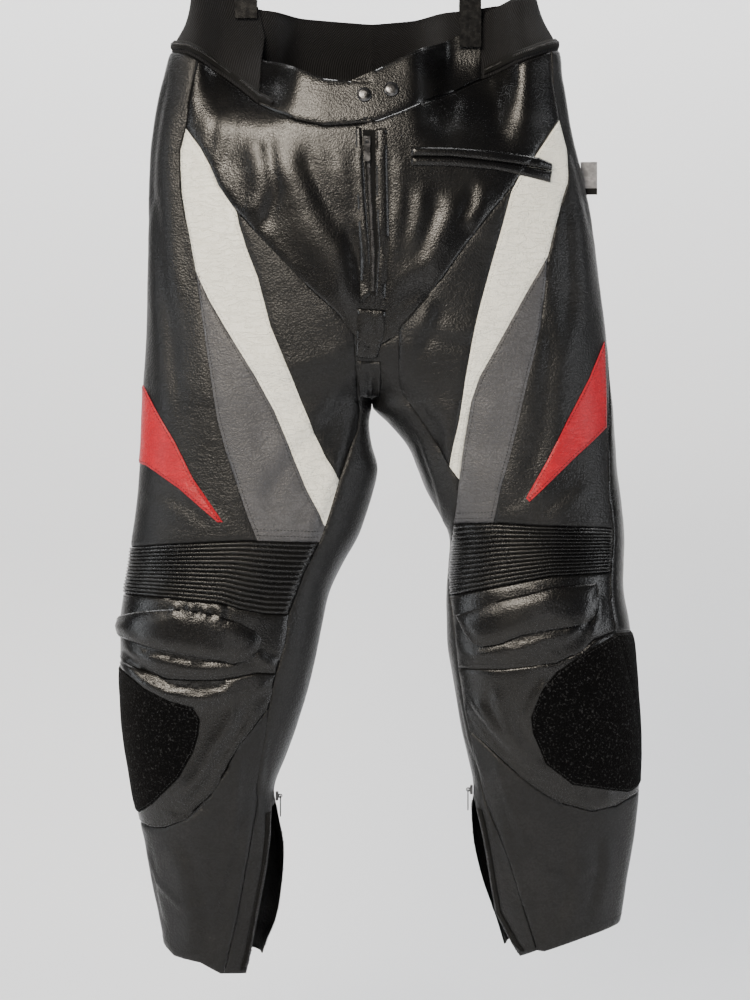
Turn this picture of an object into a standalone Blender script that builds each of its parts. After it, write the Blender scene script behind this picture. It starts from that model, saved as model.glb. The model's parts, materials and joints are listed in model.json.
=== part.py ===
# Leather riding pants hanging from a clip hanger.
# Units in the tables are millimetres: x to the right as seen from the front, drop downwards
# from the crown of the hanger's hook. The scene is in metres, +Z up, the front facing -Y.

import bisect
import math

import bmesh
import bpy
from mathutils import Matrix, Vector
from mathutils.geometry import delaunay_2d_cdt

MM = 0.001

# Driving dimensions
CENTRE_X = 13.0          # the fly and the crotch hang a little to the right of the hook
CROTCH_DROP = 557.0      # from the hook's crown to the crotch
LEATHER = 1.4            # leather wall
KNIT = 2.0               # waist rib wall
SEAM_GAP = 0.3           # between neighbouring pieces
LIFT = 0.4               # from a panel to what lies on it
SECTION_POWER = 0.85     # a little fuller than an ellipse
SHEET_WIDTH = 230.0      # pattern width that stands for the way from side to centre
GRID_ACROSS = 24.0       # spacing of the points inside a panel
GRID_DOWN = 31.0
LINE_STEP = 23.0         # longest step along a seam
RIB_COUNT = 14
RIB_HEIGHT = 1.9
RIB_EASE = 5.0           # the ribs run out over this width before the seams
CLIP_GRIP = 3.3          # half of the cloth's thickness where a clip holds it
CLIP_REACH = 30.0        # how far from a clip the waist is pulled flat
CLIP_X = {"R": -125.0, "L": 121.0}
CLIP_FOOT = {"R": 131.0, "L": 163.0}
CLIP_EASE = 130.0        # the waist opens again over this length below a clip
CLIP_FLAT = 15.0         # half of the width that a clip holds flat
CLIP_MARGIN = 4.0        # the cloth stays flat this far below the jaws
CROWN_EASE = 14.0        # padded pieces rise to their full thickness over this width
CENTRE_GRID = (120.0, 24.0, 44)   # first drop, step and count of the points on the centre line
POINT_ROOM = 9.0         # least distance from a seam to a point inside a panel
CENTRE_ROOM = 8.0
LONGEST_PULL = 2.5       # a sharp corner is drawn back from its seam by this at most

# Sections of the two halves. out and in are measured from the centre plane to the outer and inner
# outline, front and back are the half depths, middle is where the section's centre lies front to
# back, and closing grows from 0, one trunk, to 1, two legs.
SECTION_COLUMNS = ("drop", "R_out", "R_in", "L_out", "L_in", "front", "back", "middle", "closing")
SECTIONS = [
    (90, 196, 0, 176, 0, 44, 42, 0, 0),
    (132, 204, 0, 188, 0, 50, 46, 0, 0),
    (167, 221, 0, 207, 0, 58, 56, 0, 0),
    (200, 229, 0, 210, 0, 66, 66, 0, 0),
    (250, 238, 0, 217, 0, 76, 78, 0, 0),
    (300, 242, 0, 229, 0, 81, 85, 0, 0),
    (350, 244, 0, 240, 0, 83, 87, 0, 0),
    (400, 245, 0, 248, 0, 83, 86, 0, 0),
    (450, 247, 0, 254, 0, 81, 84, 0, 0.06),
    (500, 249, 0, 259, 0, 78, 80, 0, 0.28),
    (530, 251, 0, 262, 0, 75, 77, 0, 0.58),
    (557, 252, 0, 265, 0, 73, 75, 0, 1),
    (575, 253, 3, 266, 18, 72, 74, 0, 1),
    (600, 254, 0, 268, 39, 71, 72, 0, 1),
    (625, 256, -6, 270, 50, 70, 70, -1, 1),
    (650, 258, -1, 273, 60, 69, 67, -2, 1),
    (675, 261, 6, 275, 74, 68, 64, -3, 1),
    (700, 264, 15, 277, 85, 67, 61, -4, 1),
    (730, 267, 32, 277, 84, 67, 58, -6, 1),
    (760, 272, 46, 277, 82, 67, 55, -9, 1),
    (790, 276, 53, 282, 82, 67, 54, -11, 1),
    (820, 276, 59, 286, 83, 66, 54, -12, 1),
    (850, 275, 66, 289, 88, 64, 54, -12, 1),
    (880, 273, 74, 291, 93, 61, 55, -11, 1),
    (910, 271, 83, 293, 98, 58, 55, -9, 1),
    (940, 267, 94, 294, 105, 55, 54, -7, 1),
    (975, 261, 107, 294, 112, 52, 51, -4, 1),
    (1000, 257, 104, 292, 110, 49, 48, -1, 1),
    (1040, 249, 97, 287, 113, 46, 44, 3, 1),
    (1080, 241, 99, 280, 123, 43, 41, 6, 1),
    (1120, 233, 106, 275, 137, 41, 39, 8, 1),
    (1150, 230, 118, 273, 146, 40, 38, 9, 1),
    (1185, 226, 126, 271, 156, 39, 37, 10, 1),
]


def turn(share, drop):
    """A point given by its share of the way from the side (0) to the front (1) or back (-1) centre."""
    return ("turn", share, drop)


# Seams of the wearer's right half, from the waist down: (x, drop) on the front, or turn()
SEAMS_R = {
    "waist": [turn(-1, 192), turn(-0.5, 182), turn(-0.1, 168), turn(0, 167), (-190, 172), (-175, 180),
              (-152, 195), (-133, 210), (-110, 230), (-91, 240), (-68, 250), (-38, 257), (-7, 255),
              turn(1, 253)],
    "knit_top": [turn(-1, 130), turn(-0.6, 121), turn(-0.3, 107), turn(0, 98), (-139, 104),
                 (-112, 118), (-105, 150), (-108, 176)],
    "yoke_side": [(-108, 176), (-110, 230)],
    "yoke_top": [(-108, 176), (-90, 182), (-65, 194), (-38, 205), (-10, 208), turn(1, 208)],
    "hip_side": [(-175, 180), (-183, 212), (-187, 233), (-190, 256)],
    "stripe_inner": [(-190, 256), (-174, 277), (-163, 297), (-153, 320), (-140, 339), (-133, 349),
                     (-130, 364), (-121, 392), (-110, 420), (-96, 473), (-73, 528), (-53, 578),
                     (-36, 614), (-21, 639)],
    "stripe_outer": [(-190, 256), (-196, 280), (-196, 299), (-194, 328), (-190, 353), (-184, 381),
                     (-178, 412), (-163, 444), (-146, 473), (-112, 528), (-92, 564), (-73, 610),
                     (-58, 647), (-37, 689)],
    "hip_foot": [(-133, 349), (-108, 376), (-87, 398), (-53, 434), (-26, 458), (-6, 482),
                 turn(1, 496)],
    "grey_side": [(-178, 412), (-174, 442), (-169, 473), (-161, 528), (-154, 573), (-144, 610),
                  (-133, 642), (-120, 680), (-110, 704)],
    "inner": [(-6, 482), (-4, 520), (-1, 551), (1, 564), (-1, 583), (-9, 603), (-21, 639),
              (-37, 689), (-43, 706), (-59, 739), (-69, 766), (-76, 784), (-80, 816), (-90, 848),
              (-98, 886), (-102, 914), (-108, 944), (-111, 970), (-110, 989), (-116, 1022),
              (-124, 1065), (-133, 1116), (-142, 1151), (-148, 1177)],
    "rib_top": [turn(-0.1, 712), (-249, 711), (-191, 707), (-125, 704), (-110, 704), (-43, 706)],
    "rib_foot": [turn(-0.1, 760), (-255, 762), (-202, 766), (-151, 771), (-129, 778), (-102, 783),
                 (-76, 784)],
    "band_foot": [turn(-0.1, 832), (-258, 835), (-233, 845), (-209, 854), (-176, 855), (-150, 855),
                  (-111, 847), (-90, 848)],
    "cup_foot": [turn(-0.1, 1011), (-239, 1014), (-228, 1018), (-212, 1017), (-189, 1007),
                 (-161, 980), (-144, 953), (-131, 926), (-98, 886)],
    "zip": [turn(1, 992), (-95, 995), (-96, 1026), (-100, 1060), (-109, 1106), (-119, 1155),
            (-124, 1178)],
    "hem": [turn(-1, 1160), turn(-0.5, 1152), turn(-0.1, 1148), (-215, 1150), (-204, 1159),
            (-174, 1165), (-152, 1177), (-148, 1177), (-124, 1178)],
    "side_back": [turn(-0.1, 168), turn(-0.1, 712), turn(-0.1, 760), turn(-0.1, 832),
                  turn(-0.1, 1011), turn(-0.1, 1148)],
    "knee_back": [turn(-0.1, 800), turn(-0.5, 808), turn(-1, 802)],
}

# Seams of the wearer's left half
SEAMS_L = {
    "waist": [turn(-1, 192), turn(-0.5, 182), turn(-0.1, 167), turn(0, 165), (210, 169), (199, 173),
              (174, 183), (148, 192), (133, 198), (123, 202), (98, 216), (73, 228), (47, 240),
              (22, 250), turn(1, 253)],
    "knit_top": [turn(-1, 130), turn(-0.6, 121), turn(-0.3, 110), turn(0, 104), (165, 112),
                 (138, 124), (132, 146)],
    "yoke_side": [(132, 146), (133, 198)],
    "yoke_top": [(132, 146), (110, 150), (103, 152), (62, 173), (23, 193), turn(1, 198)],
    "hip_side": [(210, 169), (212, 205), (219, 245)],
    "stripe_inner": [(219, 245), (210, 258), (190, 288), (173, 310), (164, 327), (155, 361),
                     (144, 399), (131, 446), (124, 473), (114, 528), (107, 575), (97, 624)],
    "stripe_outer": [(219, 245), (224, 262), (227, 276), (226, 315), (219, 342), (211, 370),
                     (204, 396), (183, 432), (160, 473), (129, 528), (120, 554), (113, 595),
                     (107, 638)],
    "hip_foot": [(173, 310), (167, 319), (136, 358), (113, 388), (90, 421), (44, 473), (42, 482),
                 turn(1, 500)],
    "grey_side": [(204, 396), (201, 430), (196, 473), (182, 528), (172, 573), (162, 613),
                  (151, 652), (144, 685)],
    "inner": [(42, 482), (42, 534), (45, 545), (54, 557), (73, 584), (97, 624), (107, 638),
              (105, 660), (101, 686), (99, 712), (97, 740), (98, 764), (101, 785), (103, 812),
              (106, 843), (112, 880), (119, 911), (126, 945), (136, 988), (148, 1019), (163, 1054),
              (179, 1109), (193, 1152)],
    "rib_top": [turn(0.17, 691), (195, 688), (144, 685), (101, 686)],
    "rib_foot": [turn(0.19, 738), (206, 742), (174, 748), (125, 758), (98, 764)],
    "band_foot": [turn(0.2, 802), (254, 810), (239, 823), (212, 836), (190, 838), (157, 842),
                  (106, 843)],
    "cup_foot": [turn(0.0, 976), (294, 986), (279, 994), (253, 999), (220, 990), (196, 976),
                 (173, 959), (148, 937), (119, 911)],
    "zip": [turn(1, 985), (125, 990), (137, 1047), (148, 1112), (165, 1147), (174, 1160)],
    "hem": [turn(-1, 1150), turn(-0.5, 1136), turn(-0.06, 1122), (285, 1125), (244, 1138),
            (201, 1153), (193, 1152), (174, 1160)],
    "side_back": [turn(-0.02, 165), turn(-0.02, 300), turn(0.0, 482), turn(0.05, 528),
                  turn(0.09, 561), turn(0.14, 612), turn(0.165, 650), turn(0.17, 691),
                  turn(0.19, 738), turn(0.2, 802), turn(0.12, 880), turn(0.0, 976),
                  turn(-0.06, 1060), turn(-0.06, 1122)],
    "knee_back": [turn(0.2, 802), turn(-0.3, 806), turn(-1, 800)],
}
SEAMS = {"R": SEAMS_R, "L": SEAMS_L}

# A point well inside each panel, which names it
PANELS = {
    "R": {
        "waist_knit": turn(-0.4, 150), "waist_front": (-60, 222), "hip_front": (-80, 330),
        "thigh_inner": (-60, 500), "stripe_white": (-160, 380), "stripe_grey": (-110, 620),
        "thigh_side": (-200, 560), "knee_ribs": (-160, 740), "knee_band": (-170, 815),
        "knee_cup": (-180, 920), "shin": (-180, 1100), "inner_leg": turn(0.97, 860),
        "seat": turn(-0.5, 500), "calf": turn(-0.5, 960),
    },
    "L": {
        "waist_knit": turn(-0.4, 150), "waist_front": (70, 200), "hip_front": (90, 330),
        "thigh_inner": (75, 520), "stripe_white": (190, 380), "stripe_grey": (150, 610),
        "thigh_side": (220, 560), "knee_ribs": (180, 715), "knee_band": (170, 800),
        "knee_cup": (190, 900), "shin": (230, 1070), "inner_leg": turn(0.97, 870),
        "seat": turn(-0.5, 500), "calf": turn(-0.5, 960),
    },
}
PANEL_WALLS = {"waist_knit": KNIT}

# Pieces that lie on the panels: outline, thickness at the rim and extra thickness in the middle
OVERLAYS = {
    "R": {
        "accent_red": ([turn(-0.07, 534), (-237, 534), (-200, 597), (-180, 637), (-147, 684),
                        (-153, 684), (-195, 648), (-233, 622), turn(-0.07, 616)], 1.0, 0.0),
        "knee_flap": ([turn(-0.03, 790), (-233, 780), (-198, 777), (-163, 781), (-129, 792),
                       (-111, 802), (-106, 810), (-109, 820), (-118, 831), (-136, 836), (-163, 832),
                       (-198, 825), (-233, 818), (-256, 810), turn(-0.03, 806)], 1.6, 3.6),
        "knee_patch": ([turn(-0.07, 838), (-252, 847), (-230, 865), (-204, 878), (-180, 884),
                        (-172, 897), (-174, 914), (-180, 933), (-196, 961), (-226, 991),
                        (-240, 1001), turn(-0.07, 1000)], 1.6, 0.8),
        "ankle_tape": ([(-97, 1000), (-97.5, 1026), (-101.5, 1060), (-110.5, 1106), (-120.5, 1155),
                        (-125.5, 1174), (-131, 1174), (-126, 1155), (-116, 1106), (-107, 1060),
                        (-103, 1026), (-102.5, 1002)], 1.2, 0.0),
        "fly_facing": ([(-4, 259), (2, 260), (7, 341), (10.5, 388), (10.8, 440), (1, 449), (0, 388),
                        (-4, 300)], 1.3, 0.0),
    },
    "L": {
        "accent_red": ([(267, 486), (249, 528), (223, 575), (201, 619), (179, 658), (183, 662),
                        (204, 642), (233, 614), (254, 595), (268, 581), (269, 528)], 1.0, 0.0),
        "knee_flap": ([(106, 785), (125, 778), (154, 767), (180, 761), (206, 754), (230, 752),
                       (255, 750), (257, 758), (255, 779), (248, 791), (230, 796), (198, 800),
                       (174, 805), (150, 815), (133, 818), (123, 815), (114, 803)], 1.6, 3.6),
        "knee_patch": ([(212, 845), (244, 823), (279, 804), turn(-0.05, 803), turn(-0.06, 880),
                        turn(-0.05, 964), (292, 978), (230, 968), (201, 945), (187, 911),
                        (185, 894), (196, 864)], 1.6, 0.8),
        "ankle_tape": ([(128, 996), (138.5, 1047), (149.5, 1112), (166.5, 1146), (174.5, 1155),
                        (180, 1153), (172, 1143), (155, 1112), (144, 1047), (133.5, 998)],
                       1.2, 0.0),
        "fly_facing": ([(18, 261), (29, 260), (31, 341), (32, 388), (27, 446), (17.5, 440),
                        (21, 388), (18, 341)], 1.3, 0.0),
        "pocket_upper": ([(55, 281), (99, 281), (154, 284), (193, 289), (208, 295), (208, 303),
                          (187, 299), (143, 294), (99, 290), (55, 290)], 2.2, 0.0),
        "pocket_lower": ([(55, 292), (99, 292), (143, 296), (187, 301), (208, 305), (206, 316),
                          (173, 309), (143, 304), (99, 301), (55, 301)], 2.2, 0.0),
    },
}

# Pieces that cross the centre: outline on each half, and thickness
BRIDGES = {
    "fly_tape": {
        "R": [turn(1, 262), (3, 262), (8.5, 341), (12, 388), (12, 440), turn(1, 440)],
        "L": [turn(1, 262), (17, 262), (17, 341), (19.5, 388), (16, 440), turn(1, 440)],
        "thick": 0.8},
    "fly_tab": {
        "R": [turn(1, 455), (-2, 454), (-3, 480), (-4, 506), turn(1, 507)],
        "L": [turn(1, 455), (28, 456), (26, 482), (19, 506), turn(1, 507)],
        "thick": 2.0},
    "crotch_gusset": {
        "R": [turn(1, 511), (-3, 510), (-2, 530), (0, 547), turn(1, 549)],
        "L": [turn(1, 511), (22, 511), (23, 530), (22, 547), turn(1, 549)],
        "thick": 1.6},
}
# The end of the front waistband's left piece, which laps over the right one
WAIST_LAP = [turn(1, 198), (-10, 208), (-8, 230), (-5, 252), turn(1, 250)]

# The largest folds as the pants hang: the line of each crest, and its height
FOLD_WIDTH = 12.0
FOLD_ENDS = 0.25         # share of a fold's length over which each end runs out
FOLD_CENTRE = 12.0       # folds fade out over this width beside the centre lines
FOLDS = {
    "R": {
        "hip_inner": ([(-84, 266), (-79, 305), (-57, 355), (-34, 400)], 3.8),
        "hip_outer": ([(-116, 264), (-108, 300), (-107, 340)], 3.2),
        "fork_drag": ([(-18, 530), (-45, 562), (-84, 600)], 2.8),
        "thigh_side": ([(-208, 215), (-214, 290), (-208, 380), (-198, 460)], 2.8),
        "knee_roll": ([(-250, 838), (-228, 850), (-200, 861), (-172, 867), (-145, 863), (-122, 850)],
                      4.4),
        "cup_roll": ([(-135, 880), (-146, 910), (-163, 940), (-180, 966)], 3.6),
        "shin": ([(-205, 1030), (-192, 1070), (-184, 1120)], 2.6),
        "seat_slack": ([turn(-0.55, 215), turn(-0.6, 290), turn(-0.7, 370)], 3.6),
        "under_seat": ([turn(-0.2, 490), turn(-0.45, 528), turn(-0.85, 542)], 3.8),
        "knee_back": ([turn(-0.2, 826), turn(-0.5, 830), turn(-0.85, 824)], 3.4),
        "calf_slack": ([turn(-0.6, 900), turn(-0.58, 970), turn(-0.64, 1050)], 2.8),
    },
    "L": {
        "hip_outer": ([(98, 326), (98, 352), (84, 390)], 3.2),
        "hip_inner": ([(66, 322), (66, 352), (56, 400)], 2.8),
        "fork_drag": ([(62, 545), (80, 572), (96, 610)], 3.0),
        "thigh_side": ([(226, 275), (238, 340), (242, 420), (232, 500)], 2.6),
        "knee_roll": ([(112, 826), (145, 828), (174, 823), (214, 812)], 3.6),
        "cup_roll": ([(128, 880), (146, 904), (172, 932), (202, 956)], 3.6),
        "shin": ([(236, 1020), (240, 1060), (232, 1110)], 2.6),
        "seat_slack": ([turn(-0.5, 210), turn(-0.56, 280), turn(-0.68, 380)], 3.2),
        "under_seat": ([turn(-0.15, 482), turn(-0.42, 518), turn(-0.8, 534)], 3.4),
        "knee_back": ([turn(-0.1, 822), turn(-0.45, 824), turn(-0.8, 820)], 3.6),
        "calf_slack": ([turn(-0.55, 890), turn(-0.55, 960), turn(-0.62, 1040)], 2.6),
    },
}

# The zip round the waist seam lies on the rib just above the seam
WAIST_ZIP_RISE = (3.0, 12.0)
WAIST_ZIP_THICK = 2.4
WAIST_ZIP_LIFT = 0.8

COLOURS = {
    "leather_black": ((0.012, 0.012, 0.013), 0.33, 0.0),
    "leather_charcoal": ((0.028, 0.029, 0.031), 0.5, 0.0),
    "leather_white": ((0.74, 0.74, 0.70), 0.45, 0.0),
    "leather_grey": ((0.13, 0.13, 0.145), 0.5, 0.0),
    "leather_red": ((0.62, 0.012, 0.03), 0.42, 0.0),
    "rib_knit": ((0.008, 0.008, 0.009), 0.9, 0.0),
    "hook_loop": ((0.004, 0.004, 0.004), 1.0, 0.0),
    "zip_tape": ((0.006, 0.006, 0.007), 0.7, 0.0),
    "gunmetal": ((0.08, 0.08, 0.085), 0.3, 0.9),
    "tag_cloth": ((0.45, 0.45, 0.46), 0.8, 0.0),
    "hanger_plastic": ((0.01, 0.01, 0.011), 0.4, 0.0),
    "hanger_steel": ((0.5, 0.5, 0.52), 0.25, 1.0),
}
PANEL_SLOTS = {
    "waist_knit": "rib_knit", "waist_front": "leather_black", "hip_front": "leather_black",
    "thigh_inner": "leather_charcoal", "stripe_white": "leather_white",
    "stripe_grey": "leather_grey", "thigh_side": "leather_charcoal",
    "knee_ribs": "leather_black", "knee_band": "leather_black", "knee_cup": "leather_black",
    "shin": "leather_charcoal", "inner_leg": "leather_charcoal", "seat": "leather_black",
    "calf": "leather_charcoal", "accent_red": "leather_red", "knee_flap": "leather_black",
    "knee_patch": "hook_loop", "ankle_tape": "zip_tape", "fly_facing": "leather_black",
    "pocket_upper": "leather_black", "pocket_lower": "leather_black",
    "waist_zip": "zip_tape", "fly_tape": "zip_tape", "fly_tab": "leather_black",
    "crotch_gusset": "leather_charcoal",
}


def clear_scene():
    for item in list(bpy.data.objects):
        bpy.data.objects.remove(item, do_unlink=True)


def smooth(share):
    share = min(1.0, max(0.0, share))
    return share * share * (3.0 - 2.0 * share)


# Smooth reading of the section table

DROPS = [row[0] for row in SECTIONS]


def read_column(name, drop):
    """A column of the section table at any drop, on a smooth curve through its rows."""
    col = SECTION_COLUMNS.index(name)
    drop = min(DROPS[-1], max(DROPS[0], drop))
    i = min(len(DROPS) - 2, max(0, bisect.bisect_right(DROPS, drop) - 1))
    values = [SECTIONS[min(len(SECTIONS) - 1, max(0, i + k))][col] for k in (-1, 0, 1, 2)]
    places = [DROPS[min(len(DROPS) - 1, max(0, i + k))] for k in (-1, 0, 1, 2)]
    step = places[2] - places[1]
    slope_a = (values[2] - values[0]) / (places[2] - places[0])
    slope_b = (values[3] - values[1]) / (places[3] - places[1])
    f = (drop - places[1]) / step
    return ((2 * f**3 - 3 * f**2 + 1) * values[1] + (f**3 - 2 * f**2 + f) * step * slope_a
            + (3 * f**2 - 2 * f**3) * values[2] + (f**3 - f**2) * step * slope_b)


def section(side, drop):
    """Centre, half width, half sweep angle, half depths and middle of one half's section."""
    out = read_column(side + "_out", drop)
    inner = read_column(side + "_in", drop)
    if drop < CROTCH_DROP:
        closing = min(1.0, max(0.0, read_column("closing", drop)))
        sweep = math.radians(90.0 + 90.0 * closing)
        half = out / (1.0 - math.cos(sweep))
        centre = -half * math.cos(sweep)
    else:
        sweep = math.pi
        half = (out - inner) / 2
        centre = (out + inner) / 2
    return (centre, half, sweep, read_column("front", drop), read_column("back", drop),
            read_column("middle", drop))


def surface(side, share, drop):
    """The outer face of the garment, in millimetres, at a share of the way round and a drop."""
    centre, half, sweep, front, back, middle = section(side, drop)
    angle = share * sweep
    width = centre + half * math.cos(angle)
    bow = abs(math.sin(angle)) ** SECTION_POWER
    depth = -front * bow if angle >= 0 else back * bow
    x = CENTRE_X + (width if side == "L" else -width)
    for name in CLIP_X:
        away = max(0.0, abs(x - CLIP_X[name]) - CLIP_FLAT) / CLIP_REACH
        hold = math.exp(-away**3) * (1 - smooth((drop - CLIP_FOOT[name] - CLIP_MARGIN) / CLIP_EASE))
        depth = depth * (1 - hold) + math.copysign(CLIP_GRIP, -angle) * hold
    return Vector((x, depth + middle, -drop))


def normal_at(side, share, drop):
    """Outward direction of the face; on the centre line it has no sideways part."""
    step = 0.004
    along = surface(side, share + step, drop) - surface(side, share - step, drop)
    down = surface(side, share, drop + 1.5) - surface(side, share, drop - 1.5)
    if side == "L":
        along = -along
    out = down.cross(along)
    if abs(share) > 0.9999 and drop < CROTCH_DROP:
        out = Vector((0.0, -down.z, down.y)) * (-1 if share > 0 else 1)
        if out.y * share > 0:
            out = -out
    return out.normalized()


def share_of(side, x, drop):
    """Share of the way from the side to the front centre of a point seen at x from the front."""
    centre, half, sweep = section(side, drop)[:3]
    width = x - CENTRE_X if side == "L" else CENTRE_X - x
    return math.acos(min(1.0, max(-1.0, (width - centre) / half))) / sweep


def on_sheet(side, point):
    """A table point on the flat pattern: width from the side line, and drop."""
    if point[0] == "turn":
        return (point[1] * SHEET_WIDTH, float(point[2]))
    return (share_of(side, point[0], point[1]) * SHEET_WIDTH, float(point[1]))


# The pattern sheet of one half, with all its seams drawn, cut into triangles

def split_line(points, step):
    """The same line with no step longer than the given one; its own points stay."""
    out = [points[0]]
    for a, b in zip(points, points[1:]):
        count = max(1, math.ceil(math.dist(a, b) / step))
        out += [(a[0] + (b[0] - a[0]) * k / count, a[1] + (b[1] - a[1]) * k / count)
                for k in range(1, count + 1)]
    return out


def sheet_line(side, points, step=LINE_STEP):
    """A line drawn on the sheet; a stretch between two front points is straight as seen."""
    out = [on_sheet(side, points[0])]
    for a, b in zip(points, points[1:]):
        if "turn" in (a[0], b[0]):
            part = split_line([on_sheet(side, a), on_sheet(side, b)], step)
        else:
            part = [on_sheet(side, p) for p in split_line([a, b], step)]
        out += part[1:]
    return out


def inside(outline, point):
    hit = False
    for (ax, ay), (bx, by) in zip(outline, outline[1:] + outline[:1]):
        if (ay > point[1]) != (by > point[1]):
            if point[0] < ax + (point[1] - ay) * (bx - ax) / (by - ay):
                hit = not hit
    return hit


def edge_distance(outline, point):
    best = 1e9
    p = Vector(point)
    for a, b in zip(outline, outline[1:] + outline[:1]):
        a = Vector(a)
        way = Vector(b) - a
        f = min(1.0, max(0.0, (p - a).dot(way) / max(1e-9, way.length_squared)))
        best = min(best, (p - a - way * f).length)
    return best


def across_at(line, drop):
    """Width at which a line that runs down the sheet passes a drop."""
    for a, b in zip(line, line[1:]):
        if min(a[1], b[1]) <= drop <= max(a[1], b[1]) and a[1] != b[1]:
            return a[0] + (b[0] - a[0]) * (drop - a[1]) / (b[1] - a[1])
    return line[0][0] if drop < line[0][1] else line[-1][0]


def down_at(line, across):
    """Drop at which a line that runs across the sheet passes a width."""
    line = sorted(line)
    for a, b in zip(line, line[1:]):
        if a[0] <= across <= b[0] and a[0] != b[0]:
            return a[1] + (b[1] - a[1]) * (across - a[0]) / (b[0] - a[0])
    return line[0][1] if across < line[0][0] else line[-1][1]


def waist_zip_outline(side):
    """A band just above the waist seam, from the centre back round to the front."""
    seam = sheet_line(side, SEAMS[side]["waist"])
    end = on_sheet(side, (-95, 238) if side == "R" else (136, 196))[0]
    seam = [p for p in seam if p[0] < end - 4] + [(end, down_at(seam, end))]
    low, high = WAIST_ZIP_RISE
    return [(a, d - high) for a, d in seam] + [(a, d - low) for a, d in reversed(seam)]


def rib_lines(side):
    """Crests and valleys of the knee ribs, from the side seam to the inner seam."""
    lines = {name: sheet_line(side, SEAMS[side][name])
             for name in ("rib_top", "rib_foot", "inner", "side_back")}
    out = []
    for i in range(1, 2 * RIB_COUNT):
        f = i / (2 * RIB_COUNT)

        def level(across):
            return (1 - f) * down_at(lines["rib_top"], across) + f * down_at(lines["rib_foot"], across)
        start = across_at(lines["side_back"], level(0.1 * SHEET_WIDTH))
        end = across_at(lines["inner"], level(0.6 * SHEET_WIDTH))
        end = across_at(lines["inner"], level(end)) - RIB_EASE
        start += RIB_EASE
        count = max(2, round((end - start) / GRID_ACROSS))
        out.append([(start + (end - start) * k / count, level(start + (end - start) * k / count))
                    for k in range(count + 1)])
    return out


def rib_rise(side, across, drop):
    """Height of the ribs' waves at a place on the sheet."""
    top = down_at(sheet_line(side, SEAMS[side]["rib_top"]), across)
    foot = down_at(sheet_line(side, SEAMS[side]["rib_foot"]), across)
    f = (drop - top) / (foot - top)
    start = across_at(sheet_line(side, SEAMS[side]["side_back"]), drop)
    end = across_at(sheet_line(side, SEAMS[side]["inner"]), drop)
    ease = max(0.0, min(1.0, (across - start) / RIB_EASE, (end - across) / RIB_EASE))
    wave = 0.5 - 0.5 * math.cos(2 * math.pi * RIB_COUNT * min(1.0, max(0.0, f)))
    return RIB_HEIGHT * ease * wave


def fold_rise(share, spot, crests):
    """How far the folds lift a point of the face; each crest is a line in space with a height."""
    total = 0.0
    for line, height in crests:
        lengths = [(b - a).length for a, b in zip(line, line[1:])]
        gap, along = 1e9, 0.0
        run = 0.0
        for a, b, length in zip(line, line[1:], lengths):
            f = min(1.0, max(0.0, (spot - a).dot(b - a) / length**2))
            away = (spot - a - (b - a) * f).length
            if away < gap:
                gap, along = away, (run + f * length) / sum(lengths)
            run += length
        ends = smooth(along / FOLD_ENDS) * smooth((1.0 - along) / FOLD_ENDS)
        total += height * ends * math.exp(-(gap / FOLD_WIDTH) ** 2)
    return total * smooth((1.0 - abs(share)) * SHEET_WIDTH / FOLD_CENTRE)


def centre_drops():
    """Drops of all points on the front centre line, the same for both halves."""
    found = set()
    tables = [SEAMS_R, SEAMS_L, {"lap": WAIST_LAP}] + list(BRIDGES.values())
    for table in tables:
        for line in table.values():
            if isinstance(line, list):
                found |= {float(p[2]) for p in line if p[0] == "turn" and p[1] == 1}
    first, step, count = CENTRE_GRID
    found |= {first + step * k for k in range(count)}
    return sorted(found)


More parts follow.
